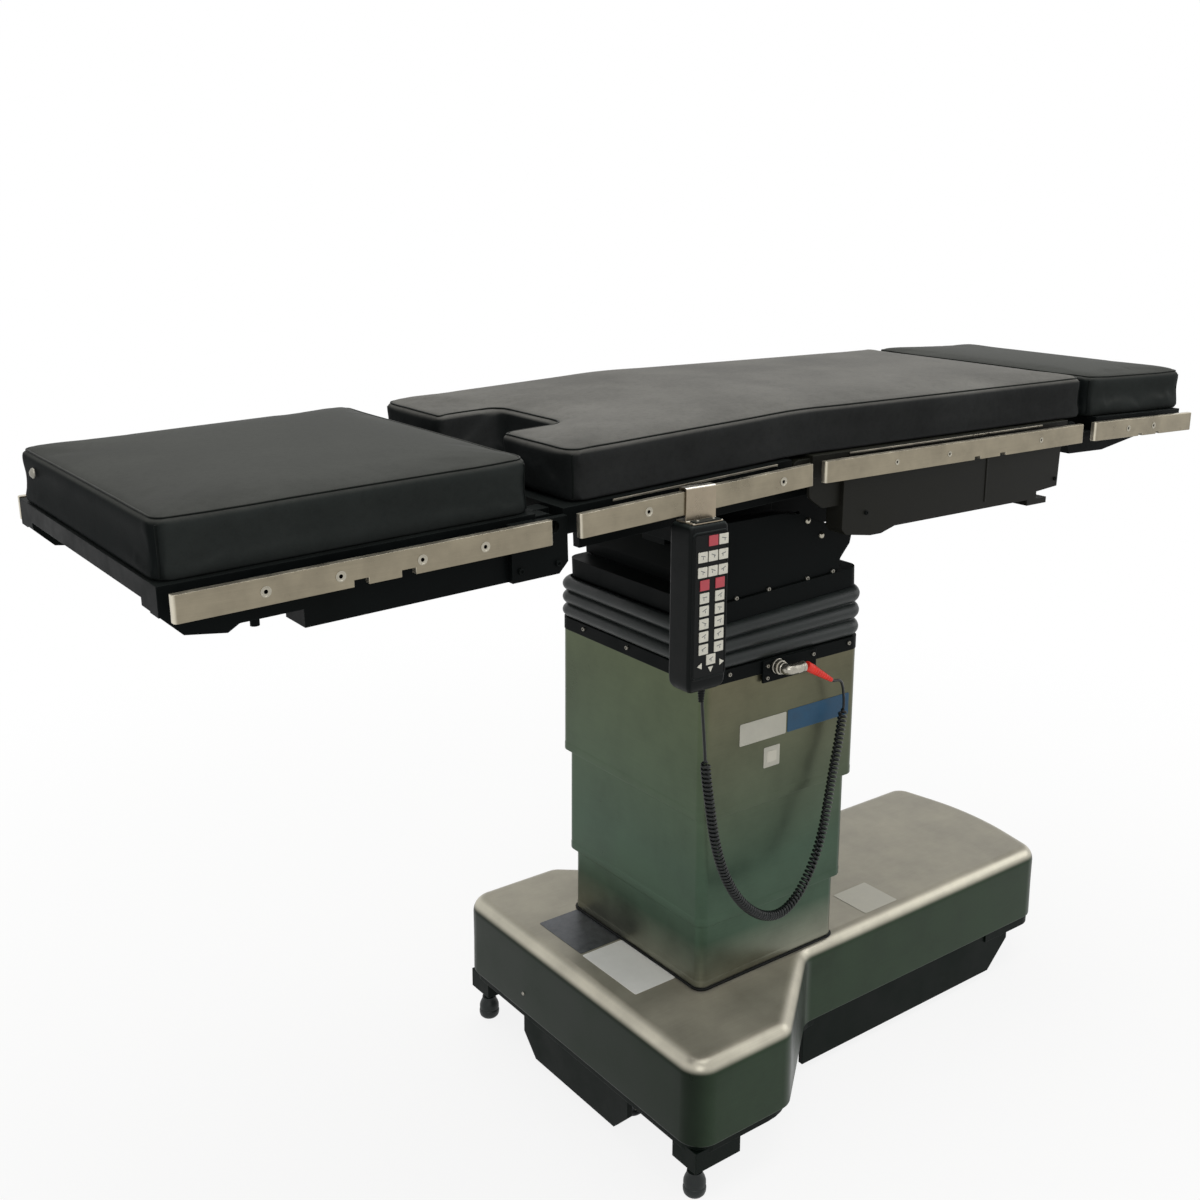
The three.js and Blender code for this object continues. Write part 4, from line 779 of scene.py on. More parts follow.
def grown(name: str, data: Mesh, tree: NodeTree, values: dict[str, object]) -> Object:
    """Runs a geometry node tree on a few points or lines.

    Args:
        name: the piece's name.
        data: the points or lines.
        tree: the node tree.
        values: the tree's inputs by name.

    Returns:
        The piece as a plain mesh.
    """
    piece = new_object(name, data)
    modifier = piece.modifiers.new("grown", "NODES")
    modifier.node_group = tree
    for item in tree.interface.items_tree:
        if item.in_out == "INPUT" and item.name in values:
            modifier[item.identifier] = values[item.name]
    return settled(piece)


def points_of(piece: Object) -> np.ndarray:
    """Reads a piece's points.

    Args:
        piece: the piece.

    Returns:
        The points in metres, a row for each.
    """
    points = np.empty(len(piece.data.vertices) * 3)
    piece.data.vertices.foreach_get("co", points)
    return points.reshape(-1, 3)


def move_points(piece: Object, points: np.ndarray) -> None:
    """Moves a piece's points to new places in metres."""
    piece.data.vertices.foreach_set("co", points.ravel())
    piece.data.update()


def settle_in(piece: Object, body: str, slot: str, *nodes: str) -> Object:
    """Puts a piece in its place on the frame and reports it.

    Args:
        piece: the piece.
        body: the body that it rides on.
        slot: a slot name; not used.
        nodes: the frame's nodes that it stands for.

    Returns:
        The piece.
    """
    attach(piece, body)
    if nodes:
        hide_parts(*nodes)
    log.info("%s: %d faces on %s", piece.name, len(piece.data.polygons), body)
    return piece


@dataclass(frozen=True)
class Section:
    """The line of one tilting part: where it starts and how it slopes, in degrees, head end up."""

    x: float
    z: float
    slope: float

    def child(self, x: float, z: float, slope: float) -> "Section":
        """Gives a section that starts at a point of this one and slopes against it."""
        start = self.matrix() @ Vector((x, 0, z))
        return Section(start.x, start.z, self.slope + slope)

    def matrix(self) -> Matrix:
        """Gives the matrix from the section's own millimetres to the table's."""
        return Matrix.Translation((self.x, 0, self.z)) @ Matrix.Rotation(-math.radians(self.slope), 4, "Y")

    def at(self, x: float, y: float, z: float) -> Vector:
        """Gives a point of the section in the table's millimetres."""
        return self.matrix() @ Vector((x, y, z))


class Layout:
    """Where the table's tilting parts stand, counted from the column's centre line in the frame."""

    def __init__(self) -> None:
        """Reads the column's place from the frame and chains the sections."""
        low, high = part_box("lower_mast")
        self.x = (low[0] + high[0]) / 2 / MM
        self.column = Section(self.x, 0, 0)
        self.yoke = Section(self.x, 945, 2.7)
        self.seat = self.yoke.child(0, 143, 0)
        self.leg = self.seat.child(-487, 0, -0.9)
        self.back = self.seat.child(-46, 0, -3)
        self.head = self.back.child(652, 0, -1.3)


# Repeated pieces, set by geometry nodes


class Cap(Enum):
    """The heads of the table's fasteners. Each profile is (radius, height) for a radius of 1."""

    SOCKET = ((0, 0), (1, 0), (1, 0.7), (0.88, 0.85), (0.52, 0.85), (0.46, 0.3), (0, 0.3))
    HEX = ((0, 0), (1.25, 0), (1.25, 0.14), (0.98, 0.16), (0.98, 0.72), (0.8, 0.86), (0, 0.86))
    DOME = ((0, 0), (1, 0), (0.94, 0.26), (0.72, 0.5), (0.4, 0.62), (0, 0.66))
    SUNK = ((0, 0), (1.3, 0), (1.3, 0.12), (1.02, 0.12), (0.96, 0.05), (0.5, 0.05), (0.44, -0.1), (0, -0.1))

    def shape(self) -> Shape:
        """Gives the head's points and faces, six-sided for a hexagon head."""
        return lathe(self.value, 6 if self is Cap.HEX else 12, (0, 0, 0))


class Repeats:
    """Geometry nodes that set copies of one small shape at points, facing out."""

    SEED = 7

    def __init__(self) -> None:
        """Builds the node tree once."""
        self.tree, given = new_tree("copies_at_points", (
            ("Points", "Geometry"), ("Copy", "Object"), ("Size", "Float"), ("Free Turn", "Float"),
            ("Seed", "Int"), ("Finish", "Material"),
        ))
        tree = self.tree
        copy = add_node(tree, "GeometryNodeObjectInfo", {"Object": given["Copy"]}, transform_space="ORIGINAL")
        facing = add_node(
            tree, "GeometryNodeInputNamedAttribute", {"Name": "facing"}, data_type="FLOAT_VECTOR",
        ).outputs["Attribute"]
        aligned = add_node(tree, "FunctionNodeAlignRotationToVector", {"Vector": facing}, axis="Z")
        angle = add_node(
            tree, "FunctionNodeRandomValue", {2: 0.0, 3: TURN, "Seed": given["Seed"]}, data_type="FLOAT",
        ).outputs[1]
        angle = add_node(
            tree, "ShaderNodeMath", {0: angle, 1: given["Free Turn"]}, operation="MULTIPLY",
        ).outputs[0]
        spin = add_node(tree, "FunctionNodeAxisAngleToRotation", {"Axis": (0, 0, 1), "Angle": angle})
        turned = add_node(
            tree, "FunctionNodeRotateRotation", {"Rotation": aligned.outputs[0], "Rotate By": spin.outputs[0]},
            rotation_space="LOCAL",
        )
        placed = add_node(
            tree, "GeometryNodeInstanceOnPoints",
            {"Points": given["Points"], "Instance": copy.outputs["Geometry"], "Rotation": turned.outputs[0],
             "Scale": given["Size"]},
        )
        real = add_node(tree, "GeometryNodeRealizeInstances", {0: placed.outputs[0]})
        coated = add_node(
            tree, "GeometryNodeSetMaterial", {"Geometry": real.outputs[0], "Material": given["Finish"]},
        )
        add_node(tree, "NodeGroupOutput", {0: coated.outputs[0]})

    def set_out(
        self, name: str, body: str, slot: str, places: Sequence[tuple[Sequence[float], Sequence[float]]],
        shape: Shape, finish: Finish, size: float = 1.0, free_turn: bool = True, bevel: float = 0.0,
    ) -> None:
        """Makes one piece of many copies and puts it on its body.

        Args:
            name: the piece's name.
            body: the body that it rides on.
            slot: its slot.
            places: points in millimetres with the way that each copy faces.
            shape: the copy's shape about the origin, facing up.
            finish: the copies' finish.
            size: how much larger the copies are than the shape.
            free_turn: whether each copy has a turn of its own about the way that it faces.
            bevel: the rounding of the copy's edges.
        """
        copy = Form().add(shape, finish, bevel=bevel).made(name + "_copy")
        data = bpy.data.meshes.new(name)
        data.from_pydata([tuple(Vector(point) * MM) for point, _ in places], [], [])
        facing = data.attributes.new("facing", "FLOAT_VECTOR", "POINT")
        facing.data.foreach_set("vector", [c for _, way in places for c in way])
        piece = grown(name, data, self.tree, {
            "Copy": copy, "Size": size, "Free Turn": float(free_turn), "Seed": self.SEED,
            "Finish": PAINT(finish),
        })
        bpy.data.objects.remove(copy)
        settle_in(piece, body, slot)


@dataclass
class Base:
    """The wheeled base: its pressed steel cover, plates, floor lock feet and casters."""

    layout: Layout
    repeats: Repeats
    bottom: float = 98.0
    top: float = 237.0
    wall: float = 3.0
    edge_radius: float = 26.0
    corner_radius: float = 40.0
    foot_x: float = -282.0
    wide_x: float = -93.0
    slant_x: float = 79.0
    head_x: float = 708.0
    head_bow: float = 38.0
    bow_radius: float = 480.0
    wide_y: float = 325.0
    narrow_y: float = 183.0
    mast_room: Flat = (132.0, 155.0)
    rim_x: float = 560.0
    rim_inset: float = 4.0
    rim_span: Flat = (80.0, 97.5)
    plate_rise: Flat = (0.05, 0.65)
    plate_spans: tuple[tuple[str, Finish, Flat, Flat], ...] = (
        ("dark", Palette.PLATE_DARK, (-233, -150), (34, 158)),
        # This white plate is brightened as painted light against the shade under the table top.
        ("white", Palette.PLATE_WHITE_PAINTED_LIT, (-234, -152), (-116, 29)),
        ("frosted", Palette.PLATE_CLEAR, (246, 328), (-158, -78)),
    )
    screw_height: float = 132.0
    lock_places: tuple[Flat, ...] = ((-254, -292), (-254, 292), (522, -132), (522, 132))
    caster_places: tuple[Flat, ...] = ((-196, -92), (-196, 92), (410, -104), (410, 104))
    wheel_radius: float = 30.0
    wheel_width: float = 24.0
    caster_trail: float = 18.0
    axle_height: float = 33.0

    def build(self) -> None:
        """Builds and places every piece of the base."""
        self.cover()
        self.rim()
        self.plates()
        for number, place in enumerate(self.lock_places, 1):
            self.lock_foot(number, place)
        for number, place in enumerate(self.caster_places, 1):
            self.wheel(number, place)
        self.screws()

    def _plan(self) -> Outline:
        """Gives the cover's plan, with its bowed head end.

        Returns:
            The plan, counted from the column's centre line.
        """
        r = self.corner_radius
        near = (
            (self.foot_x, -self.wide_y, r), (self.wide_x, -self.wide_y, r), (self.slant_x, -self.narrow_y, r),
            (self.head_x, -self.narrow_y, r),
        )
        far = tuple((x, -y, r) for x, y, r in near[::-1])
        bow = (self.head_x + self.head_bow, 0, self.bow_radius)
        return Outline((*near, bow, *far), arc_steps=9, spacing=22)

    def _ring(self, outline: Outline, inset: float, z: float) -> list[Point]:
        """Gives one level of the cover."""
        return [(self.layout.x + x, y, z) for x, y in outline.ring(inset)]

    def _towards_room(self, point: Flat) -> Flat:
        """Draws a point of the plan in to the opening that the mast passes, hidden inside the column."""
        share = min(half / max(abs(place), 1e-6) for half, place in zip(self.mast_room, point))
        return point[0] * share, point[1] * share

    def cover(self) -> None:
        """Makes the cover: a deep-drawn shell with a wide rounded top edge and a rolled foot."""
        outline = self._plan()
        rings = [
            self._ring(outline, self.wall + 1, self.bottom + 1), self._ring(outline, self.wall, self.bottom),
            self._ring(outline, 1.2, self.bottom), self._ring(outline, 0.3, self.bottom + 0.7),
            self._ring(outline, 0, self.bottom + 2.5),
        ]
        for level in (130, 160, 190):
            rings.append(self._ring(outline, 0.4 if level == 160 else 0.2, level))
        steps = 10
        for s in range(steps + 1):
            turn = QUARTER * s / steps
            inset, drop = (self.edge_radius * (1 - part) for part in (math.cos(turn), math.sin(turn)))
            rings.append(self._ring(outline, inset, self.top - drop))
        room = [self._towards_room(point) for point in outline.ring(self.edge_radius)]
        for z in (self.top, self.top - self.wall):
            rings.append([(self.layout.x + x, y, z) for x, y in room])
        rings += [
            self._ring(outline, self.edge_radius, self.top - self.wall),
            self._ring(outline, self.wall + 1, self.top - self.edge_radius),
        ]
        form = Form().add(rings_of(rings, loop=True), Palette.BASE_SHEET)
        settle_in(form.made("base_shell", crease=50), "base", "steel", "base_cover")

    def rim(self) -> None:
        """Makes the folded rim under the cover's head end."""
        head, y = self._plan().corners[3:6], self.narrow_y
        corners = ((self.rim_x, -y, 1), *head, (self.rim_x, y, 1))
        outline = Outline(corners, arc_steps=9, spacing=22).ring(self.rim_inset)
        shape = prism(outline, *self.rim_span)
        form = Form().add(shape, Palette.BASE_COAT, self.layout.column.matrix(), bevel=1.2)
        settle_in(form.made("base_head_rim"), "base", "casting")

    def plates(self) -> None:
        """Lays the blank plates on the cover and the seal round the column's foot."""
        low, high = (self.top + rise for rise in self.plate_rise)
        for name, finish, xs, ys in self.plate_spans:
            shape = prism(plate_outline(xs, ys, 3), low, high)
            form = Form().add(shape, finish, self.layout.column.matrix(), bevel=0.2, segments=1)
            settle_in(form.made(f"base_plate_{name}"), "base", "plastic")
        line = rounded_rectangle(150.5, 173.5, 17, 8, (self.layout.x, 0))
        seal = tube([Vector((x, y, self.top + 2.2)) for x, y in line], 2.4, 8, loop=True)
        settle_in(Form().add(seal, Palette.SEAL).made("column_foot_seal"), "base", "rubber")

    def lock_foot(self, number: int, place: Flat) -> None:
        """Makes one floor lock foot: a steel stem with a collar in a ribbed rubber foot.

        Args:
            number: the foot's number.
            place: where it stands, counted from the column's centre line.
        """
        at = (self.layout.x + place[0], place[1], 0)
        rubber = [
            (0, 0), (12.5, 0), (14, 0.8), (16.4, 3.5), (17.6, 7), (18, 12), (17.4, 15), (16.4, 16), (16.4, 18),
            (17.4, 19), (17.2, 24), (15.6, 29), (13.6, 33), (12.4, 37), (12.2, 40), (0, 40),
        ]
        stem = [(0, 38), (9.5, 38), (9.5, 44), (10.6, 45), (10.6, 55), (9.2, 56.5), (9.2, 125.5), (0, 125.5)]
        form = Form().add(lathe(rubber, 40, at), Palette.RUBBER).add(lathe(stem, 32, at), Palette.BASE_COAT)
        form.add(lathe([(0, 45), (11.9, 45), (11.9, 54), (0, 54)], 6, at), Palette.BASE_COAT, bevel=0.6)
        settle_in(form.made(f"lock_foot_{number}"), f"lock_{number}", "rubber", f"floor_lock_foot_{number}")

    def wheel(self, number: int, place: Flat) -> None:
        """Makes one caster wheel: a crowned grey tyre on a dished hub with a bearing cap.

        Args:
            number: the caster's number.
            place: where its fork swivels, counted from the column's centre line.
        """
        side, r = self.wheel_width / 2, self.wheel_radius
        centre = (self.layout.x + place[0] - self.caster_trail, place[1], self.axle_height)
        tread = [(r - 8, side - 1), (r - 6, side), (r - 2.4, side - 1.6), (r - 0.5, side - 5)]
        hub = [(5.6, side - 1.4), (11, side - 1.4), (12, side - 4), (20, side - 5), (r - 8.6, side - 1.2)]
        cap = [(5.4, side - 0.6), (9, side - 0.6)]
        form = Form()
        for half, middle, inner, sides, finish in (
            (tread, [(r, 0)], [(r - 9, 0)], 48, Palette.TYRE), (hub, [], [], 40, Palette.ENAMEL),
            (cap, [], [], 24, Palette.ZINC),
        ):
            profile = [(a, -b) for a, b in half] + middle + half[::-1] + inner
            form.add(lathe(profile, sides, centre, "y", loop=True), finish)
        settle_in(form.made(f"wheel_tyre_{number}"), f"wheel_{number}", "tyre", f"caster_wheel_{number}")

    def screws(self) -> None:
        """Sets the screws that hold the cover to the chassis."""
        x, up = self.layout.x, self.screw_height
        head = max(point[0] for point in self._plan().ring(0))
        places = [
            ((x + self.foot_x, 135, up), (-1, 0, 0)), ((x + head, 0, up), (1, 0, 0)),
            ((x + 330, self.narrow_y, up), (0, 1, 0)), ((x - 190, self.wide_y, up), (0, 1, 0)),
        ]
        self.repeats.set_out("base_cover_screws", "base", "bright", places, Cap.DOME.shape(), Palette.ZINC, 3.4)


@dataclass
class Column:
    """The telescoping column: three shrouds, their seals, the flange's screws and the connector."""

    layout: Layout
    repeats: Repeats
    half_x: float = 149.0
    half_y: float = 172.0
    step: float = 8.0
    corner_radius: float = 16.0
    wall: float = 2.5
    spans: tuple[Flat, ...] = ((237.4, 450), (352, 562), (536, 754.8))
    flange_half: Flat = (168.0, 191.0)
    flange_screw_height: float = 768.0
    plate_spans: tuple[tuple[str, Finish, Flat, Flat], ...] = (
        ("white", Palette.PLATE_WHITE, (-93, 5), (643.5, 679.5)),
        ("blue", Palette.PLATE_BLUE, (8, 145), (644, 681)),
    )

    def build(self) -> None:
        """Builds and places every piece of the column."""
        for index, (name, body) in enumerate((("lower", "base"), ("middle", "middle"), ("top", "lift"))):
            self.shroud(name, body, index)
        self.flange_screws()
        self.plates()
        self.connector()

    def shroud(self, name: str, body: str, index: int) -> None:
        """Makes one shroud: a folded sheet with a hemmed foot, a welded joint behind and a wiper seal inside.

        Args:
            name: which of the three it is.
            body: the body that it rides on.
            index: its number from the innermost.
        """
        grow = self.step * index
        hx, hy, r = self.half_x + grow, self.half_y + grow, self.corner_radius
        low, high = self.spans[index]

        def ring(inset: float, z: float) -> list[Point]:
            """Gives one level of the sheet."""
            line = rounded_rectangle(hx - inset, hy - inset, max(2.0, r - inset), 8, (self.layout.x, 0))
            return [(x, y, z) for x, y in line]

        levels = [
            (self.wall, high), (0, high), (0, low + 16), (0, low + 13.4), (-0.5, low + 12.2), (-0.5, low + 1.4),
            (0, low + 0.3), (0.6, low), (self.wall, low),
        ]
        form = Form().add(rings_of([ring(*level) for level in levels], loop=True), Palette.COLUMN_SHEET)
        seam = hx * 0.62
        joint = [(seam + x, hy + y) for x, y in ((-1.6, 0.02), (1.6, 0.02), (1, 0.5), (-1, 0.5))]
        form.add(prism(joint, low + 14, high), Palette.COLUMN_SHEET, self.layout.column.matrix())
        if index:
            lip = [ring(inset, low + rise) for inset, rise in ((2.6, 2), (7.4, 3), (7.4, 8), (2.6, 9))]
            form.add(rings_of(lip, loop=True), Palette.SEAL)
        settle_in(form.made(f"{name}_shroud_sheet"), body, "steel", f"{name}_shroud")

    def flange_screws(self) -> None:
        """Sets the screws round the column head's flange."""
        x, up, (hx, hy) = self.layout.x, self.flange_screw_height, self.flange_half
        places = [((x + a, side * hy, up), (0, side, 0)) for side in (-1, 1) for a in (-120, 136)]
        places += [((x + 40, hy, up), (0, 1, 0))]
        places += [((x + side * hx, b, up), (side, 0, 0)) for side in (-1, 1) for b in (-118, 0, 118)]
        screw = Cap.SOCKET.shape()
        self.repeats.set_out("column_flange_screws", "lift", "bright", places, screw, Palette.ZINC, 3.4)

    def plates(self) -> None:
        """Sets the blank plates on the top shroud."""
        face = -(self.half_y + 2 * self.step) - 0.05
        at = self.layout.column.matrix()
        for name, finish, xs, zs in self.plate_spans:
            shape = prism(plate_outline(xs, zs, 2.5), face - 0.6, face, "y")
            form = Form().add(shape, finish, at, bevel=0.2, segments=1)
            settle_in(form.made(f"column_plate_{name}"), "lift", "plastic")
        form = Form()
        for half_x, half_z, deep, finish in (
            (17, 17, 0.5, Palette.PLATE_WHITE), (10, 9, 0.9, Palette.PLATE_CLEAR),
        ):
            outline = rounded_rectangle(half_x, half_z, 2, 4, (-24, 612))
            form.add(prism(outline, face - deep, face, "y"), finish, at, bevel=0.15, segments=1)
        settle_in(form.made("column_plate_small"), "lift", "plastic")

    def connector(self) -> None:
        """Makes the connector: a bevelled plate with its screws and a knurled socket."""
        (x0, y0, z0), (x1, y1, z1) = [[c / MM for c in corner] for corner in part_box("connector_plate")]
        form = Form().add(box((x0, x1), (y0, y1), (z0, z1)), Palette.POWDER_COAT, bevel=1.2)
        settle_in(form.made("connector_mount"), "lift", "casting", "connector_plate")
        screws = [((x, y0, z), (0, -1, 0)) for x in (x0 + 8, x1 - 8) for z in (z0 + 8, z1 - 8)]
        screw = Cap.SOCKET.shape()
        self.repeats.set_out("connector_screws", "lift", "bright", screws, screw, Palette.ZINC, 3.2)
        low, high = [Vector(c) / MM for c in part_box("connector_socket")]
        centre = (low + high) / 2
        radius = (high.x - low.x) / 2
        barrel = [
            (0, low.y), (radius - 3.2, low.y), (radius - 2.4, low.y + 0.8), (radius - 2.4, low.y + 6),
            (radius - 0.8, low.y + 6.6), (radius - 0.8, low.y + 13.4), (radius, low.y + 14), (radius, high.y),
            (0, high.y),
        ]
        form = Form().add(lathe(barrel, 40, (centre.x, 0, centre.z), "y"), Palette.NICKEL)
        count = 56
        ribs = [radius - (0.9 if s % 2 else 0.1) for s in range(count)]
        knurl = [
            [(centre.x + r * math.cos(TURN * s / count), y, centre.z + r * math.sin(TURN * s / count))
             for s, r in enumerate(ribs)]
            for y in (low.y + 7.4, low.y + 12.6)
        ]
        form.add(rings_of(knurl), Palette.NICKEL)
        settle_in(form.made("connector_barrel"), "lift", "bright", "connector_socket")


@dataclass
class CordPlug:
    """The plug at the end of the curly cord: an angled nickel body and a red tapered strain relief."""

    radius: float = 9.0
    boot_reach: float = 68.0
    boot_drop: float = 36.0
    boot_radius: float = 7.5
    boot_tip: float = 3.4

    def build(self) -> Object:
        """Builds both pieces.

        Returns:
            The strain relief, which is on the cord.
        """
        low, high = [Vector(c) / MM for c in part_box("cord_plug")]
        x, y, z = low.x + self.radius, low.y + self.radius, (low.z + high.z) / 2
        path = [Vector((x, high.y, z)), Vector((x, y + 7, z))]
        turns = [QUARTER * s / 6 for s in range(1, 7)]
        path += [Vector((x + 7 - 7 * math.cos(a), y + 7 - 7 * math.sin(a), z)) for a in turns]
        path += [Vector((high.x - 10, y, z)), Vector((high.x, y, z))]
        radii = [self.radius - 0.6] * (len(path) - 1) + [self.radius - 1.6]
        form = Form().add(tube(path, radii, 28), Palette.NICKEL)
        for start, end, radius, sides, bevel, segments in (
            (x + 15, x + 24, self.radius, 8, 0.7, 2), (x + 27, high.x - 1, self.radius - 0.1, 24, 0.5, 1),
        ):
            collar = lathe([(0, start), (radius, start), (radius, end), (0, end)], sides, (0, y, z), "x")
            form.add(collar, Palette.NICKEL, bevel=bevel, segments=segments)
        settle_in(form.made("plug_body"), "lift", "bright", "cord_plug")
        slope = math.asin(self.boot_drop / self.boot_reach)
        ahead = Vector((math.cos(slope), 0, -math.sin(slope)))
        start = Vector((high.x + self.boot_radius * math.sin(slope) + 0.3, y, z))
        path, radii = [], []
        steps, plain = 44, 0.22
        for s in range(steps + 1):
            share = s / steps
            path.append(start + ahead * (share * self.boot_reach))
            taper = max(0.0, (share - plain) / (1 - plain))
            swell = self.boot_radius + (self.boot_tip - self.boot_radius) * taper
            groove = plain < share < 0.95 and s % 4 in (1, 2)
            end = 0.8 if s in (0, steps) else 0.0
            radii.append(swell - (0.9 if groove else 0.0) - end)
        form = Form().add(tube(path, radii, 28), Palette.BOOT)
        return settle_in(form.made("plug_strain_relief"), "lift", "boot", "plug_boot")


# Lines and the curly cord


def smooth_line(points: Sequence[Vector], each: int) -> list[Vector]:
    """Draws a centripetal Catmull-Rom line through points.

    Args:
        points: the points, in order.
        each: how many steps each span has.

    Returns:
        The line's points, ends included.
    """
    ends = [points[0] * 2 - points[1], *points, points[-1] * 2 - points[-2]]
    line = []
    for i in range(len(points) - 1):
        p = ends[i : i + 4]
        t = [0.0]
        for a, b in zip(p, p[1:]):
            t.append(t[-1] + max(1e-4, (b - a).length ** 0.5))
        for s in range(each):
            u = t[1] + (t[2] - t[1]) * s / each
            a = [p[k] * ((t[k + 1] - u) / (t[k + 1] - t[k])) + p[k + 1] * ((u - t[k]) / (t[k + 1] - t[k]))
                 for k in range(3)]
            b = [a[k] * ((t[k + 2] - u) / (t[k + 2] - t[k])) + a[k + 1] * ((u - t[k]) / (t[k + 2] - t[k]))
                 for k in range(2)]
            line.append(b[0] * ((t[2] - u) / (t[2] - t[1])) + b[1] * ((u - t[1]) / (t[2] - t[1])))
    return [*line, points[-1]]


def evenly(line: Sequence[Vector], count: int) -> list[Vector]:
    """Resamples a line.

    Args:
        line: the line's points.
        count: how many equal steps it gets.

    Returns:
        The new points, ends included.
    """
    lengths = [0.0]
    for a, b in zip(line, line[1:]):
        lengths.append(lengths[-1] + (b - a).length)
    points, k = [], 0
    for i in range(count + 1):
        want = lengths[-1] * i / count
        while k < len(lengths) - 2 and lengths[k + 1] < want:
            k += 1
        span = lengths[k + 1] - lengths[k]
        points.append(line[k].lerp(line[k + 1], (want - lengths[k]) / span if span else 0.0))
    return points


def length_of(line: Sequence[Vector]) -> float:
    """Gives a line's length."""
    return sum((b - a).length for a, b in zip(line, line[1:]))


@dataclass
class CurlyCord:
    """The hand control's cord: a straight tail, curls round a hanging line and a tail into the plug."""

    layout: Layout
    boot: Object
    diameter: float = 4.5
    curl_radius: float = 5.7
    curls: int = 110
    steps: int = 12
    sides: int = 8
    foot: Flat = (-259, -300)
    head: Flat = (110, -211)
    tail_top: Point = (-266, -297, 811.7)
    split_height: float = 480
    hang: tuple[Flat, ...] = (
        (-259, 702), (-255, 676), (-247, 638), (-231, 570), (-209, 514), (-177, 463), (-137, 421), (-92, 391),
        (-50, 379), (-14, 386), (18, 408), (44, 440), (63, 480), (76, 529), (87, 574), (100, 622), (110, 668),
    )
    plug_tail: tuple[Point, ...] = (
        (90, -220, 722), (99, -217, 711), (105, -214, 697), (109, -212, 681), (110, -211, 668),
    )

    def _at(self, x: float, y: float, z: float) -> Vector:
        """Gives a point counted from the column's centre line."""
        return Vector((self.layout.x + x, y, z))

    def _curls(self) -> list[Vector]:
        """Winds the wire round the hanging line; the curls open and close over one turn at each end.

        Returns:
            The wire's middle line.
        """
        reach = self.head[0] - self.foot[0]
        points = [
            self._at(x, self.foot[1] + (x - self.foot[0]) / reach * (self.head[1] - self.foot[1]), z)
            for x, z in self.hang
        ]
        count = self.curls * self.steps
        centres = evenly(smooth_line(points, 24), count)
        out = Vector((self.head[1] - self.foot[1], self.foot[0] - self.head[0], 0)).normalized()
        line = []
        for i, centre in enumerate(centres):
            ahead = (centres[min(i + 1, count)] - centres[max(i - 1, 0)]).normalized()
            across = ahead.cross(out).normalized()
            radius = self.curl_radius * min(1.0, min(i, count - i) / self.steps)
            turn = TURN * i / self.steps
            line.append(centre + across * (math.cos(turn) * radius) + out * (math.sin(turn) * radius))
        return line

    def build(self) -> None:
        """Builds the three stretches of the cord and hides the frame's nodes that they stand for."""
        curls = self._curls()
        top = self._at(*self.tail_top)
        down = Vector((0, 0, -self.diameter))
        tail = [top, *smooth_line([top + down, curls[0] - down, curls[0]], 8)]
        low, high = [Vector(c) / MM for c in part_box("plug_boot")]
        slope = math.asin(CordPlug.boot_drop / CordPlug.boot_reach)
        ahead = Vector((math.cos(slope), 0, -math.sin(slope)))
        mouth = Vector((high.x, (low.y + high.y) / 2, low.z)) + Vector((-1.6, 0, 3.2))
        rest = smooth_line([mouth + ahead * self.diameter, *[self._at(*p) for p in self.plug_tail]], 6)
        plug_tail = [mouth, *rest]
        split = next(i for i, p in enumerate(curls) if p.z < self.split_height)
        stretches = (
            ("cord_straight_tail", tail, "hand_control", "seat", "cord_tail", "object", ()),
            ("cord_curls_upper", curls[: split + 1], "seat", "yoke", "cord_coil_upper", "object", ()),
            ("cord_curls_lower", curls[split:] + plug_tail[::-1][1:], "yoke", "lift", "cord_coil_lower", "plug",
             (self.boot,)),
        )
        for name, line, before, after, node, end, pieces in stretches:
            form = Form().add(tube(line, self.diameter / 2, self.sides), Palette.CORD)
            piece = form.made(name, crease=60)
            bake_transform(piece)
            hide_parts(node)
            length = length_of(line)
            [tuple(p * MM) for p in line]
            list(pieces)
            log.info("%s: %.0f mm of wire", name, length)


# The tilting head


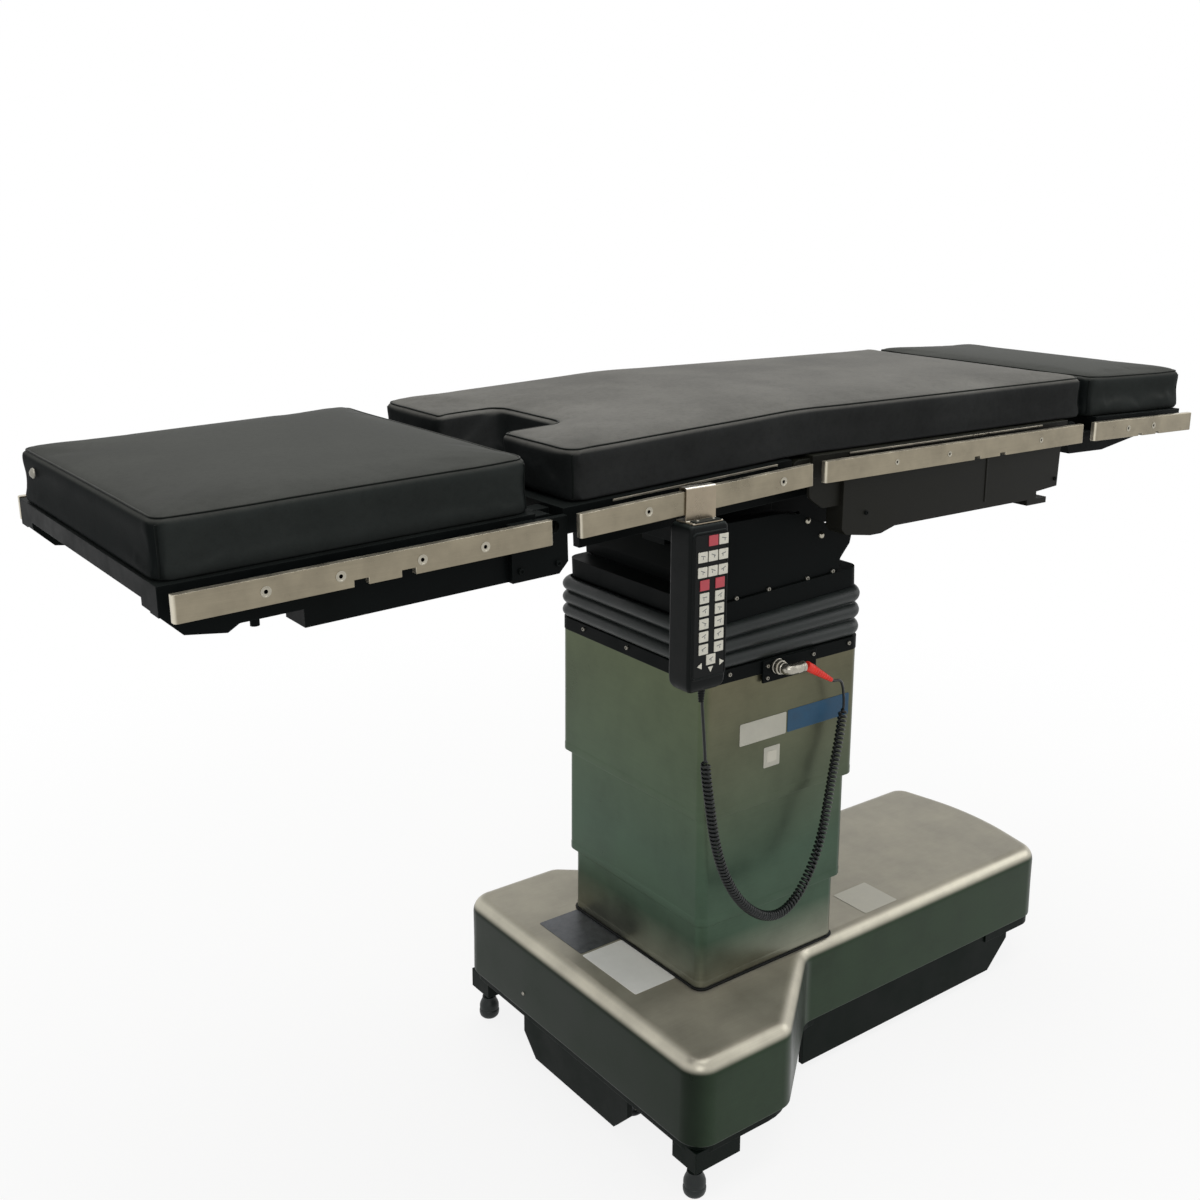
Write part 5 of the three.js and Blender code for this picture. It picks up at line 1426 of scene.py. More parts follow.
@dataclass
class Bellows:
    """The pleated rubber skirt between the column and the tilting head, swept by geometry nodes."""

    layout: Layout
    half_x: float = 160.0
    half_y: float = 181.0
    corner_radius: float = 18.0
    bottom: float = 776.4
    top: float = 852.0
    folds: int = 3
    levels_per_fold: int = 14
    depth: float = 12.0
    thickness: float = 2.0

    def tree(self) -> NodeTree:
        """Builds the nodes that sweep a pleated profile along a closed line.

        Returns:
            The node tree.
        """
        tree, given = new_tree("pleated_skirt", (
            ("Foot Line", "Geometry"), ("Height", "Float"), ("Folds", "Float"), ("Depth", "Float"),
            ("Levels", "Int"), ("Finish", "Material"),
        ))
        line = add_node(tree, "GeometryNodeMeshToCurve", {"Mesh": given["Foot Line"]}).outputs[0]
        line = add_node(tree, "GeometryNodeSetCurveNormal", {"Curve": line}, mode="Z_UP").outputs[0]
        end = add_node(tree, "ShaderNodeCombineXYZ", {"Y": given["Height"]}).outputs[0]
        profile = add_node(tree, "GeometryNodeCurvePrimitiveLine", {"Start": (0, 0, 0), "End": end}).outputs[0]
        profile = add_node(
            tree, "GeometryNodeResampleCurve", {"Curve": profile, "Count": given["Levels"]},
        ).outputs[0]
        wave = add_node(tree, "GeometryNodeSplineParameter").outputs["Factor"]
        for step, factor in (
            ("MULTIPLY", given["Folds"]), ("MULTIPLY", math.pi), ("SINE", 0.0), ("ABSOLUTE", 0.0),
            ("POWER", 0.6), ("MULTIPLY", given["Depth"]),
        ):
            wave = add_node(tree, "ShaderNodeMath", {0: wave, 1: factor}, operation=step).outputs[0]
        offset = add_node(tree, "ShaderNodeCombineXYZ", {"X": wave}).outputs[0]
        profile = add_node(tree, "GeometryNodeSetPosition", {"Geometry": profile, "Offset": offset}).outputs[0]
        skirt = add_node(tree, "GeometryNodeCurveToMesh", {"Curve": line, "Profile Curve": profile}).outputs[0]
        skirt = add_node(tree, "GeometryNodeRealizeInstances", {0: skirt}).outputs[0]
        coated = add_node(tree, "GeometryNodeSetMaterial", {"Geometry": skirt, "Material": given["Finish"]})
        add_node(tree, "NodeGroupOutput", {0: coated.outputs[0]})
        return tree

    def build(self) -> None:
        """Builds the skirt and leans its upper rim with the head."""
        ring = rounded_rectangle(self.half_x, self.half_y, self.corner_radius, 8)
        data = bpy.data.meshes.new("bellows_skirt")
        count = len(ring)
        edges = [(i, (i + 1) % count) for i in range(count)]
        data.from_pydata([(x * MM, y * MM, 0) for x, y in ring], edges, [])
        height = (self.top - self.bottom) * MM
        piece = grown("bellows_skirt", data, self.tree(), {
            "Height": height, "Folds": float(self.folds), "Depth": self.depth * MM,
            "Levels": self.folds * self.levels_per_fold + 1, "Finish": PAINT(Palette.RUBBER),
        })
        lean = math.tan(math.radians(self.layout.yoke.slope))
        points = points_of(piece)
        if np.abs(points[:, 0]).max() < (self.half_x + 1) * MM:
            raise RuntimeError("the pleats point inwards")
        share = np.abs(points[:, 2]) / height
        points[:, 2] = self.bottom * MM + share * (height + points[:, 0] * lean)
        points[:, 0] += self.layout.x * MM
        move_points(piece, points)
        solid = piece.modifiers.new("wall", "SOLIDIFY")
        solid.thickness = self.thickness * MM
        solid.offset = 0.0
        settled(piece)
        mesh = bmesh.new()
        mesh.from_mesh(piece.data)
        bmesh.ops.recalc_face_normals(mesh, faces=mesh.faces[:])
        mesh.to_mesh(piece.data)
        mesh.free()
        piece.data.shade_smooth()
        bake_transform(piece)
        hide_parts("bellows")
        log.info("bellows_skirt: %d faces between lift and yoke", len(piece.data.polygons))


@dataclass
class TiltingHead:
    """What shows on the tilting yoke: the bolts round its foot and the caps of its pivots."""

    layout: Layout
    repeats: Repeats
    plate_y: float = 180.0

    def build(self) -> None:
        """Sets the bolts and pivot caps."""
        for name, spots, cap, finish, size in (
            ("yoke_foot_bolts", [(x, -58.5) for x in (-104, -38, 44, 100)], Cap.SOCKET, Palette.ZINC, 3.6),
            ("yoke_pivot_caps", [(76, 5), (46, 34)], Cap.DOME, Palette.BRIGHT_STEEL, 5.4),
        ):
            at, y = self.layout.yoke, self.plate_y
            places = [(at.at(x, side * y, z), (0, side, 0)) for side in (-1, 1) for x, z in spots]
            self.repeats.set_out(name, "yoke", "bright", places, cap.shape(), finish, size)


# Accessory rails


@dataclass(frozen=True)
class RailSize:
    """One section's rails, in millimetres from the seat's start; the hinge is where the section starts."""

    section: str
    hinge: float
    span: Flat
    screws: tuple[float, ...]
    screw_size: float
    notches: tuple[float, ...] = ()
    notch_width: float = 0.0
    notch_depth: float = 0.0


@dataclass
class SideRails:
    """The accessory rails of the four sections, with their notches and countersunk screws."""

    layout: Layout
    repeats: Repeats
    outer_y: float = 295.0
    thickness: float = 10.0
    half_height: float = 16.0
    edge: float = 0.9
    end_edge: float = 4.5
    sizes: tuple[RailSize, ...] = (
        RailSize("leg", -487, (-979, -503), (-878, -790, -687, -602), 5.0, (-765, -705), 18, 8),
        RailSize("seat", 0, (-462, -54), (-354, -114), 5.0),
        RailSize("back", -46, (-30, 588), (120, 240, 470), 3.6, (309, 372), 14, 5),
        RailSize("head", 606, (621, 920), (719, 797), 4.4, (758, 812), 11, 4),
    )

    def build(self) -> None:
        """Builds the eight rails and their screws."""
        for size in self.sizes:
            at = getattr(self.layout, size.section)
            self.rail(size, "near", -1, at)
            self.rail(size, "far", 1, at)
            y, screw = self.outer_y, Cap.SUNK.shape()
            places = [(at.at(x - size.hinge, s * y, 0), (0, s, 0)) for s in (-1, 1) for x in size.screws]
            self.repeats.set_out(
                f"{size.section}_rail_screws", size.section, "bright", places, screw, Palette.BRIGHT_STEEL,
                size.screw_size,
            )

    def rail(self, size: RailSize, where: str, side: int, at: Section) -> None:
        """Makes one rail.

        Args:
            size: its sizes.
            where: near or far.
            side: -1 for the near side and 1 for the far side.
            at: the section's line.
        """
        h, half = self.half_height, size.notch_width / 2
        start, end = (x - size.hinge for x in size.span)
        outline: list[Flat] = [(start, -h)]
        for x in (x - size.hinge for x in size.notches):
            top = size.notch_depth - h
            outline += [(x - half, -h), (x - half, top), (x + half, top), (x + half, -h)]
        outline += [(end, -h), (end, h), (start, h)]
        ys = sorted((side * self.outer_y, side * (self.outer_y - self.thickness)))

        def is_end(a: Vector, b: Vector) -> bool:
            """Tells whether an edge is one of the two upright ones at the outer face's ends."""
            upright = abs(a.x - b.x) < 0.01 and abs(a.y - b.y) < 0.01 and abs(a.z - b.z) > 2 * h - 1
            return upright and abs(abs(a.y) - self.outer_y) < 0.01

        form = Form().add(
            prism(outline, ys[0], ys[1], "y"), Palette.RAIL_BAR, at.matrix(), bevel=self.edge,
            only=is_end, corner=self.end_edge,
        )
        name = f"{size.section}_rail_{where}"
        settle_in(form.made(f"{size.section}_rail_bar_{where}"), size.section, "bright", name)


@dataclass
class Frames:
    """What shows on the cast frames: deck trims, covers over the joints, and bolts."""

    layout: Layout
    repeats: Repeats
    trim_y: Flat = (262.2, 264.4)
    trim_z: Flat = (14.2, 17.4)
    joint_x: Flat = (409.0, 412.5)
    joint_y: Flat = (269.8, 271.4)
    joint_z: Flat = (-96.0, -18.0)
    hinge_y: Flat = (257.0, 263.0)
    hinge_plan: tuple[Point, ...] = ((14, -14, 1), (16, -44, 14), (44, -62, 16), (80.4, -62, 1), (80.4, -14, 1))
    bolts: tuple[tuple[str, tuple[float, ...], float, float, float], ...] = (
        ("leg", (-52, 4), 272.0, -48.0, 4.2), ("seat", (-372, -292, -60, 4), 200.0, -44.0, 4.6),
        ("back", (130, 596), 270.0, -78.0, 3.4),
    )

    def build(self) -> None:
        """Adds the trims, the covers and the bolts."""
        for section, span in (("seat", (-388, -96)), ("back", (96, 560))):
            self.pair(
                f"{section}_deck_trim", section, "bright", lambda ys: box(span, ys, self.trim_z), self.trim_y,
                Palette.TRIM, 0.6,
            )
        self.pair(
            "back_housing_joints", "back", "casting", lambda ys: box(self.joint_x, ys, self.joint_z),
            self.joint_y, Palette.HOUSING_COAT, 0.6,
        )
        cover = Outline(self.hinge_plan, spacing=200).ring(0)
        self.pair(
            "back_hinge_covers", "back", "casting", lambda ys: prism(cover, *ys, "y"), self.hinge_y,
            Palette.HOUSING_COAT, 0.8,
        )
        for section, xs, y, z, size in self.bolts:
            at = getattr(self.layout, section)
            places = [(at.at(x, side * y, z), (0, side, 0)) for side in (-1, 1) for x in xs]
            self.repeats.set_out(
                f"{section}_frame_bolts", section, "casting", places, Cap.SOCKET.shape(),
                Palette.POWDER_COAT, size,
            )

    def pair(
        self, name: str, section: str, slot: str, shape: Callable[[Sequence[float]], Shape], ys: Flat,
        finish: Finish, bevel: float,
    ) -> None:
        """Makes one piece of two equal shapes, one on each side of a section.

        Args:
            name: the piece's name.
            section: the section that carries it.
            slot: its slot.
            shape: gives the shape between two limits along Y.
            ys: how far from the middle it starts and ends.
            finish: its finish.
            bevel: the rounding of its edges.
        """
        form = Form()
        for side in (-1, 1):
            limits = sorted(side * y for y in ys)
            form.add(shape(limits), finish, getattr(self.layout, section).matrix(), bevel=bevel)
        settle_in(form.made(name), section, slot)


# The hand control


@dataclass
class HandControl:
    """The hand control: a moulded case with a keypad, hung on the seat's near rail by a bent steel hook."""

    layout: Layout
    repeats: Repeats
    x: float = -273.5
    half_width: float = 33.5
    front_y: float = -318.0
    back_y: float = -272.0
    top: float = 1047.0
    bottom: float = 812.0
    film_y: float = -319.9
    pad_z: float = 935.0
    bezel_half: Flat = (27.4, 99.9)
    bezel_lines: tuple[Flat, ...] = (
        (0, -317.5), (0, -319.6), (0.6, -320.2), (2.2, -320.2), (3, -319.6), (3.4, -317.5),
    )
    relief_place: Flat = (-266.0, -297.0)
    relief_top: float = 814.0
    relief_foot: float = 790.0
    hook_outer_y: float = -297.7
    hook_back_y: float = -284.7
    hook_lip: float = 5.5
    strip_y: Flat = (-313.0, -277.0)
    hook_half_width: float = 26.0
    hook_seat: float = 1092.8
    sheet: float = 2.4
    white_keys: tuple[Flat, ...] = (
        (-252, 1025), *((x, z) for z in (1004, 983) for x in (-288, -270, -252)),
        *((x, z) for z in (947, 929, 911, 893, 875) for x in (-284, -257)), (-270.5, 859),
    )
    red_keys: tuple[Flat, ...] = ((-270, 1025), (-284, 965), (-257, 965))
    arrow_keys: tuple[Point, ...] = ((-289, 852, 90), (-270.5, 846, 180), (-252, 852, -90))

    def build(self) -> None:
        """Builds and places every piece of the hand control."""
        self.case()
        self.keypad()
        self.hook()

    def case(self) -> None:
        """Makes the case, with its raised bezel, its cap and the ribbed strain relief of the cord."""
        x0, y, deep = self.layout.x + self.x, (self.front_y + self.back_y) / 2, (self.back_y - self.front_y) / 2
        levels = [
            (12, 0), (8.2, 0.8), (4.8, 3), (2.2, 6.5), (0.7, 11), (0.1, 17), (0, 24), (0, 120), (0, -12),
            (0.6, -5), (1.4, -2.6), (3, -0.8), (5, 0),
        ]
        rings = []
        for index, (inset, z) in enumerate(levels):
            base = self.bottom if index < 8 else self.top
            line = rounded_rectangle(
                self.half_width - inset, deep - inset * 0.8, max(1.0, 6 - inset * 0.2), 6, (x0, y),
            )
            rings.append([(a, b, base + z) for a, b in line])
        form = Form().add(rings_of(rings), Palette.CASE)
        bezel = []
        for grow, front in self.bezel_lines:
            half_x, half_z = (half + grow for half in self.bezel_half)
            line = rounded_rectangle(half_x, half_z, 4 + grow, 5, (x0, self.pad_z))
            bezel.append([(x, front, z) for x, z in line])
        form.add(rings_of(bezel, loop=True), Palette.CASE)
        cap = rounded_rectangle(29, 15, 4, 5, (x0, y - 3))
        form.add(prism(cap, self.top - 3, self.top + 0.2), Palette.CASE, bevel=0.1, segments=1)
        ribs = [(6.4 - 0.2 * s - (0.9 if s % 2 else 0.0), self.relief_top - 2 * s) for s in range(13)]
        profile = [(2.5, self.relief_top), *ribs, (2.5, self.relief_foot)]
        tail = (self.layout.x + self.relief_place[0], self.relief_place[1], 0)
        form.add(lathe(profile, 24, tail, loop=True), Palette.CASE)
        settle_in(form.made("hand_control_case"), "hand_control", "plastic", "control_case")

    def keypad(self) -> None:
        """Makes the keypad: printed film, soft keys set out by geometry nodes and plain marks on them."""
        x0 = self.layout.x
        film = rounded_rectangle(27, 99.5, 3.5, 5, (x0 + self.x, self.pad_z))
        form = Form().add(prism(film, self.film_y, self.film_y + 1.5, "y"), Palette.FILM, bevel=0.2, segments=1)
        settle_in(form.made("keypad_film"), "hand_control", "film", "control_keypad")
        key = box((-8.1, 8.1), (-7.3, 7.3), (-0.4, 1.3))
        for name, finish, keys in (
            ("keys_white", Palette.KEY_WHITE, self.white_keys), ("keys_red", Palette.KEY_RED, self.red_keys),
        ):
            places = [((x0 + x, self.film_y, z), (0, -1, 0)) for x, z in keys]
            self.repeats.set_out(name, "hand_control", "film", places, key, finish, free_turn=False, bevel=0.8)
        form = Form()
        for x, z, turn in self.arrow_keys:
            spokes = [math.radians(turn + 90 + 120 * s) for s in range(3)]
            corners = [(x0 + x + 5.2 * math.cos(a), z + 5.2 * math.sin(a)) for a in spokes]
            form.add(prism(corners, self.film_y - 0.9, self.film_y + 0.3, "y"), Palette.KEY_WHITE, bevel=0.3)
        settle_in(form.made("keys_arrows"), "hand_control", "film")
        form = Form()
        marks = random.Random(11)
        ys = (self.film_y - 1.42, self.film_y - 1.1)
        for x, z in self.white_keys:
            tilt = math.radians(marks.choice((-24, -12, 0, 12, 24)))
            at = Matrix.Translation((x0 + x, 0, z + 1.5)) @ Matrix.Rotation(tilt, 4, "Y")
            form.add(box((-3.9, 3.9), ys, (-0.5, 0.5)), Palette.KEY_MARK, at)
            at = Matrix.Translation((x0 + x + marks.choice((-1.5, 0, 1.5)), 0, z + 1.5))
            form.add(box((-0.5, 0.5), ys, (-4.2, -1)), Palette.KEY_MARK, at)
        settle_in(form.made("key_marks"), "hand_control", "film")

    def hook(self) -> None:
        """Bends the hook: a steel strip over the rail, with its foot screwed to the case."""
        outer, back, seat, t = self.hook_outer_y, self.hook_back_y, self.hook_seat, self.sheet
        low, top, tip = self.top + 0.3, seat + t, seat - self.hook_lip
        bend, tight, sharp = 3.4, 1.0, 0.6
        (front, rear), foot = self.strip_y, low + t
        outline = Outline((
            (front, low, sharp), (rear, low, sharp), (rear, foot, sharp), (outer + t, foot, tight),
            (outer + t, seat, tight), (back, seat, tight), (back, tip, 0.5), (back + t, tip, 0.5),
            (back + t, top, bend), (outer, top, bend), (outer, foot, tight), (front, foot, sharp),
        ), arc_steps=4, spacing=200).ring(0)
        x, half = self.layout.x + self.x, self.hook_half_width
        form = Form().add(prism(outline, x - half, x + half, "x"), Palette.HOOK_STRIP, bevel=0.5)
        form.add(box((x - 22, x + 22), (-314.5, -300.5), (foot - 0.1, foot + 1.6)), Palette.CASE, bevel=0.5)
        settle_in(form.made("hand_control_hook"), "hand_control", "bright", "control_hook")
        places = [((x + a, -307, foot + 1.4), (0, 0, 1)) for a in (-14, 14)]
        self.repeats.set_out(
            "hand_control_screws", "hand_control", "bright", places, Cap.DOME.shape(), Palette.ZINC, 2.4,
        )


# Pads


@dataclass
class Pad:
    """A foam pad in a vinyl cover: puffed by cloth simulation, then seamed with a welt."""

    name: str
    outline: Outline
    place: Callable[[np.ndarray], np.ndarray]
    welt: float = 5.0
    rise: float = 19.0
    height: float = 76.0
    crown: float = 5.0
    edge: float = 12.0
    voxel: float = 6.5
    cap: float = 3.0
    pressure: float = 4.0
    frames: int = 20
    corner_seams: tuple[Flat, ...] = ()
    stud: Point | None = None
    cover: Finish = Palette.VINYL
    levels: tuple[Flat, ...] = ((0.0, 4.0), (0.03, 1.2), (0.09, 0.2), (0.3, 2.2), (0.55, 2.8), (0.78, 0.8))

    def build(self) -> Object:
        """Builds the pad.

        Returns:
            The pad, final but not yet on its bodies.
        """
        top = self.rise + self.height - self.crown
        rings = []
        for share, inset in self.levels:
            level = self.rise + share * (self.height - self.crown)
            rings.append([(x, y, level) for x, y in self.outline.ring(inset)])
        for s in range(6):
            turn = QUARTER * s / 5
            rings.append([
                (x, y, top - self.edge * (1 - math.sin(turn)))
                for x, y in self.outline.ring(self.edge * (1 - math.cos(turn)) * 0.9)
            ])
        rough = Form().add(rings_of(rings), self.cover).made(self.name + "_foam", crease=180)
        remesh = rough.modifiers.new("voxels", "REMESH")
        remesh.mode = "VOXEL"
        remesh.voxel_size = self.voxel * MM
        remesh.use_smooth_shade = True
        settled(rough)
        self._move(rough, self._crowned)
        self._puff(rough)
        smooth = rough.modifiers.new("smooth", "SUBSURF")
        smooth.levels = smooth.render_levels = 1
        settled(rough)
        paths = self._seams(rough)
        self._move(rough, lambda points: self._grooved(points, paths))
        form = Form()
        form.mesh.from_mesh(rough.data)
        form.mesh.transform(Matrix.Scale(1 / MM, 4))
        form.finishes.append(self.cover)
        for path, loop in paths:
            form.add(tube(path, 1.5, 6, loop), Palette.WELT)
        if self.stud:
            form.add(self._stud_shape(), Palette.ZINC)
        form.mesh.verts.ensure_lookup_table()
        points = np.array([v.co for v in form.mesh.verts])
        for vert, co in zip(form.mesh.verts, self.place(points)):
            vert.co = co
        bpy.data.objects.remove(rough)
        return form.made(self.name, crease=75)

    def _move(self, piece: Object, change: Callable[[np.ndarray], np.ndarray]) -> None:
        """Moves a piece's points, which change sees in millimetres."""
        move_points(piece, change(points_of(piece) / MM) * MM)

    def _to_edge(self, points: np.ndarray, line: np.ndarray) -> np.ndarray:
        """Measures in plan.

        Args:
            points: the points.
            line: a closed line.

        Returns:
            Each point's distance from the line.
        """
        ends = np.roll(line, -1, axis=0)
        span = ends - line
        size = np.maximum((span**2).sum(1), 1e-9)
        least = np.full(len(points), np.inf)
        for start, step, square in zip(line, span, size):
            t = np.clip(((points[:, :2] - start) @ step) / square, 0, 1)
            gap = points[:, :2] - start - t[:, None] * step
            least = np.minimum(least, (gap**2).sum(1))
        return np.sqrt(least)

    def _crowned(self, points: np.ndarray) -> np.ndarray:
        """Swells the top towards its middle and draws the long sides in between their corners.

        Args:
            points: the foam's points in millimetres.

        Returns:
            Their new places.
        """
        line = np.array(self.outline.ring(0))
        depth = self._to_edge(points, line)
        share = np.clip((points[:, 2] - self.rise) / (self.height - self.crown), 0, 1)
        moved = points.copy()
        moved[:, 2] += self.crown * (1 - np.exp(-((depth / 62) ** 1.5))) * share**2
        x0, x1 = line[:, 0].min(), line[:, 0].max()
        waist = np.sin(np.clip((points[:, 0] - x0) / (x1 - x0), 0, 1) * math.pi) ** 0.5
        out = np.clip((np.abs(points[:, 1]) - 120) / 134, 0, 1) ** 3
        moved[:, 1] -= np.sign(points[:, 1]) * 2.2 * waist * out
        return moved

    def _puff(self, piece: Object) -> None:
        """Inflates the cover with cloth simulation, its bottom held, and caps how far it swells.

        Args:
            piece: the foam's mesh.
        """
        scene = bpy.context.scene
        before = points_of(piece)
        held = piece.vertex_groups.new(name="held")
        low = (self.rise + 3) * MM
        held.add([i for i, z in enumerate(before[:, 2]) if z < low], 1.0, "REPLACE")
        cloth = piece.modifiers.new("cover", "CLOTH")
        cloth.settings.quality = 4
        cloth.settings.use_pressure = True
        cloth.settings.uniform_pressure_force = self.pressure
        cloth.settings.effector_weights.gravity = 0.0
        cloth.settings.vertex_group_mass = "held"
        cloth.point_cache.frame_start, cloth.point_cache.frame_end = 1, self.frames
        for frame in range(1, self.frames + 1):
            scene.frame_set(frame)
        settled(piece)
        scene.frame_set(1)
        shift = points_of(piece) - before
        size = np.linalg.norm(shift, axis=1)
        most = self.cap * MM
        shift *= np.where(size > most, most / np.maximum(size, 1e-9), 1.0)[:, None]
        move_points(piece, before + shift)
        log.info("%s: the cover swells by %.1f mm", self.name, min(size.max() / MM, self.cap))

    def _seams(self, piece: Object) -> list[tuple[list[Vector], bool]]:
        """Lays the seams' lines on the cover: round its top edge and down its corners.

        Args:
            piece: the cover's mesh.

        Returns:
            Each line, and whether it is closed.
        """
        mesh = bmesh.new()
        mesh.from_mesh(piece.data)
        tree = BVHTree.FromBMesh(mesh)
        mesh.free()

        def lay(points: Iterable[Point], loop: bool) -> tuple[list[Vector], bool]:
            """Lays a line on the cover.

            Args:
                points: the line's points near the cover.
                loop: True for a closed line.

            Returns:
                The smoothed line, and loop.
            """
            line = []
            for point in points:
                near, normal, _, _ = tree.find_nearest(Vector(point) * MM)
                line.append(near / MM + normal * 0.15)
            for _ in range(3):
                count = len(line)
                line = [
                    line[i] if not loop and i in (0, count - 1)
                    else (line[i - 1] + line[i] * 2 + line[(i + 1) % count]) / 4
                    for i in range(count)
                ]
            return line, loop

        fine = Outline(self.outline.corners, arc_steps=10, spacing=9)
        top = self.rise + self.height
        paths = [lay([(x, y, top) for x, y in fine.ring(self.welt)], True)]
        for x, y in self.corner_seams:
            upright = [(x, y, self.rise + 4 + (self.height - 16) * s / 12) for s in range(13)]
            paths.append(lay(upright, False))
        return paths

    def _grooved(self, points: np.ndarray, paths: list[tuple[list[Vector], bool]]) -> np.ndarray:
        """Sinks the cover a little along its seams.

        Args:
            points: the cover's points in millimetres.
            paths: the seams' lines.

        Returns:
            The points' new places.
        """
        moved = points.copy()
        for path, _ in paths:
            line = np.array([tuple(p) for p in path])
            near = np.full(len(points), np.inf)
            for p in line:
                near = np.minimum(near, ((points - p) ** 2).sum(1))
            middle = line.mean(axis=0)
            pull = 0.9 * np.exp(-near / 3.5**2)
            away = middle - points
            away /= np.maximum(np.linalg.norm(away, axis=1), 1e-6)[:, None]
            moved += away * pull[:, None]
        return moved

    def _stud_shape(self) -> Shape:
        """Makes the cover's snap stud, facing along -X."""
        profile = [(0, -3.2), (2.6, -3.2), (4.2, -2.2), (5.6, -1), (7, 0), (7, 2), (0, 2)]
        return lathe(profile, 24, self.stud, "x")


@dataclass
class Pads:
    """The three pads of the top: leg, torso and head."""

    layout: Layout
    half_width: float = 258.0
    corner: float = 24.0
    back_hinge: float = -46.0
    flex: float = 90.0
    seam_inset: float = 5.0
    cut_half: float = 81.0
    cut_deep: float = 103.0
    leg_span: Flat = (-497.0, -16.0)
    torso_span: Flat = (-449.0, 642.0)
    head_span: Flat = (42.0, 340.0)

    def _plan(self, x0: float, x1: float) -> Outline:
        """Gives a plain pad's plan."""
        y, r = self.half_width, self.corner
        return Outline(((x0, -y, r), (x1, -y, r), (x1, y, r), (x0, y, r)), arc_steps=7, spacing=22)

    def _seams(self, x0: float, x1: float) -> tuple[Flat, ...]:
        """Gives the places of a pad's four corner seams."""
        y, d = self.half_width - self.seam_inset, self.seam_inset
        return (x0 + d, -y), (x1 - d, -y), (x0 + d, y), (x1 - d, y)

    @staticmethod
    def _rigid(at: Section) -> Callable[[np.ndarray], np.ndarray]:
        """Gives the function that takes a section's points to the table's."""
        matrix = np.array(at.matrix())
        return lambda points: points @ matrix[:3, :3].T + matrix[:3, 3]

    def _bent(self, points: np.ndarray) -> np.ndarray:
        """Takes the torso pad's points to the table's, bending it over the back hinge.

        Args:
            points: points counted along the seat.

        Returns:
            The points in the table's millimetres.
        """
        seat = self._rigid(self.layout.seat)(points)
        shifted = points - np.array([self.back_hinge, 0, 0])
        back = self._rigid(self.layout.back)(shifted)
        t = np.clip((shifted[:, 0] + self.flex) / (2 * self.flex), 0, 1)
        share = (t * t * (3 - 2 * t))[:, None]
        return seat * (1 - share) + back * share

    def _reach(self, at: Section, x: float) -> Point:
        """Gives a point in a section's pad, in metres."""
        return tuple(at.at(x, 0, 50) * MM)

    def build(self) -> None:
        x0, x1 = self.leg_span
        leg = Pad(
            "leg_cushion", self._plan(x0, x1), self._rigid(self.layout.leg), corner_seams=self._seams(x0, x1),
            stud=(x0 + 0.6, 183, 66),
        ).build()
        settle_in(leg, "leg", "vinyl", "leg_pad")

        (x0, x1), y, r, half = self.torso_span, self.half_width, self.corner, self.cut_half
        cut = x0 + self.cut_deep
        plan = Outline((
            (x0, -y, r), (x1, -y, r), (x1, y, r), (x0, y, r), (x0, half, 14.0), (cut, half, 20.0),
            (cut, -half, 20.0), (x0, -half, 14.0),
        ), arc_steps=7, spacing=22)
        torso = Pad(
            "torso_cushion", plan, self._bent, voxel=7.5, cover=Palette.VINYL_WORN,
            corner_seams=self._seams(x0, x1),
        ).build()
        seat, back, head = self.layout.seat, self.layout.back, self.layout.head
        joint = self._reach(seat, self.back_hinge - self.flex), self._reach(back, self.flex)
        self._over_joint(torso, "seat", "back", joint, "seat_pad", "torso_pad_flex", "back_pad")

        x0, x1 = self.head_span
        pillow = Pad(
            "head_cushion", self._plan(x0, x1), self._rigid(head), corner_seams=self._seams(x0, x1),
        ).build()
        joint = self._reach(head, x0 - 30), self._reach(head, x0 + 70)
        self._over_joint(pillow, "back", "head", joint, "head_pad")

    def _over_joint(
        self, pad: Object, before: str, after: str, joint: tuple[Point, Point], *nodes: str,
    ) -> None:
        """Bakes a pad that lies over a joint and hides the frame's nodes that it stands for.

        Args:
            pad: the pad.
            before: the body at its foot end; not used.
            after: the body at its head end; not used.
            joint: where it starts and ends to follow the second body, in metres.
            nodes: the frame's nodes that it stands for.
        """
        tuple(joint[0])
        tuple(joint[1])
        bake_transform(pad)
        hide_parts(*nodes)


# The frame's own solids that stay, the stage and the camera


DRESSED = {
    Palette.POWDER_COAT: (
        "lower_mast", "column_head", "tilt_post", "bellows_top_ring", "tilt_yoke", "roll_cradle", "seat_frame",
        "leg_frame", "leg_release_pin", "head_frame",
    ),
    Palette.BRIGHT_STEEL: (
        "mast_ram", "trend_pin", "roll_shaft", "leg_hinge_pin", "back_hinge_pin", "head_hinge_pin",
    ),
    Palette.BASE_COAT: ("chassis",),
    Palette.HOUSING_COAT: ("back_frame",),
    Palette.ENAMEL: ("hydraulic_unit",),
    Palette.ZINC: tuple(f"caster_fork_{number}" for number in range(1, 5)),
}


def dress_frame(nodes: dict[str, Object]) -> None:
    """Gives the frame's own solids that stay in view their finishes.

    Args:
        nodes: the frame's nodes by name.
    """
    for finish, names in DRESSED.items():
        for name in names:
            for slot in nodes[name].material_slots:
                slot.material = PAINT(finish)
            log.info("%s keeps its solid", name)


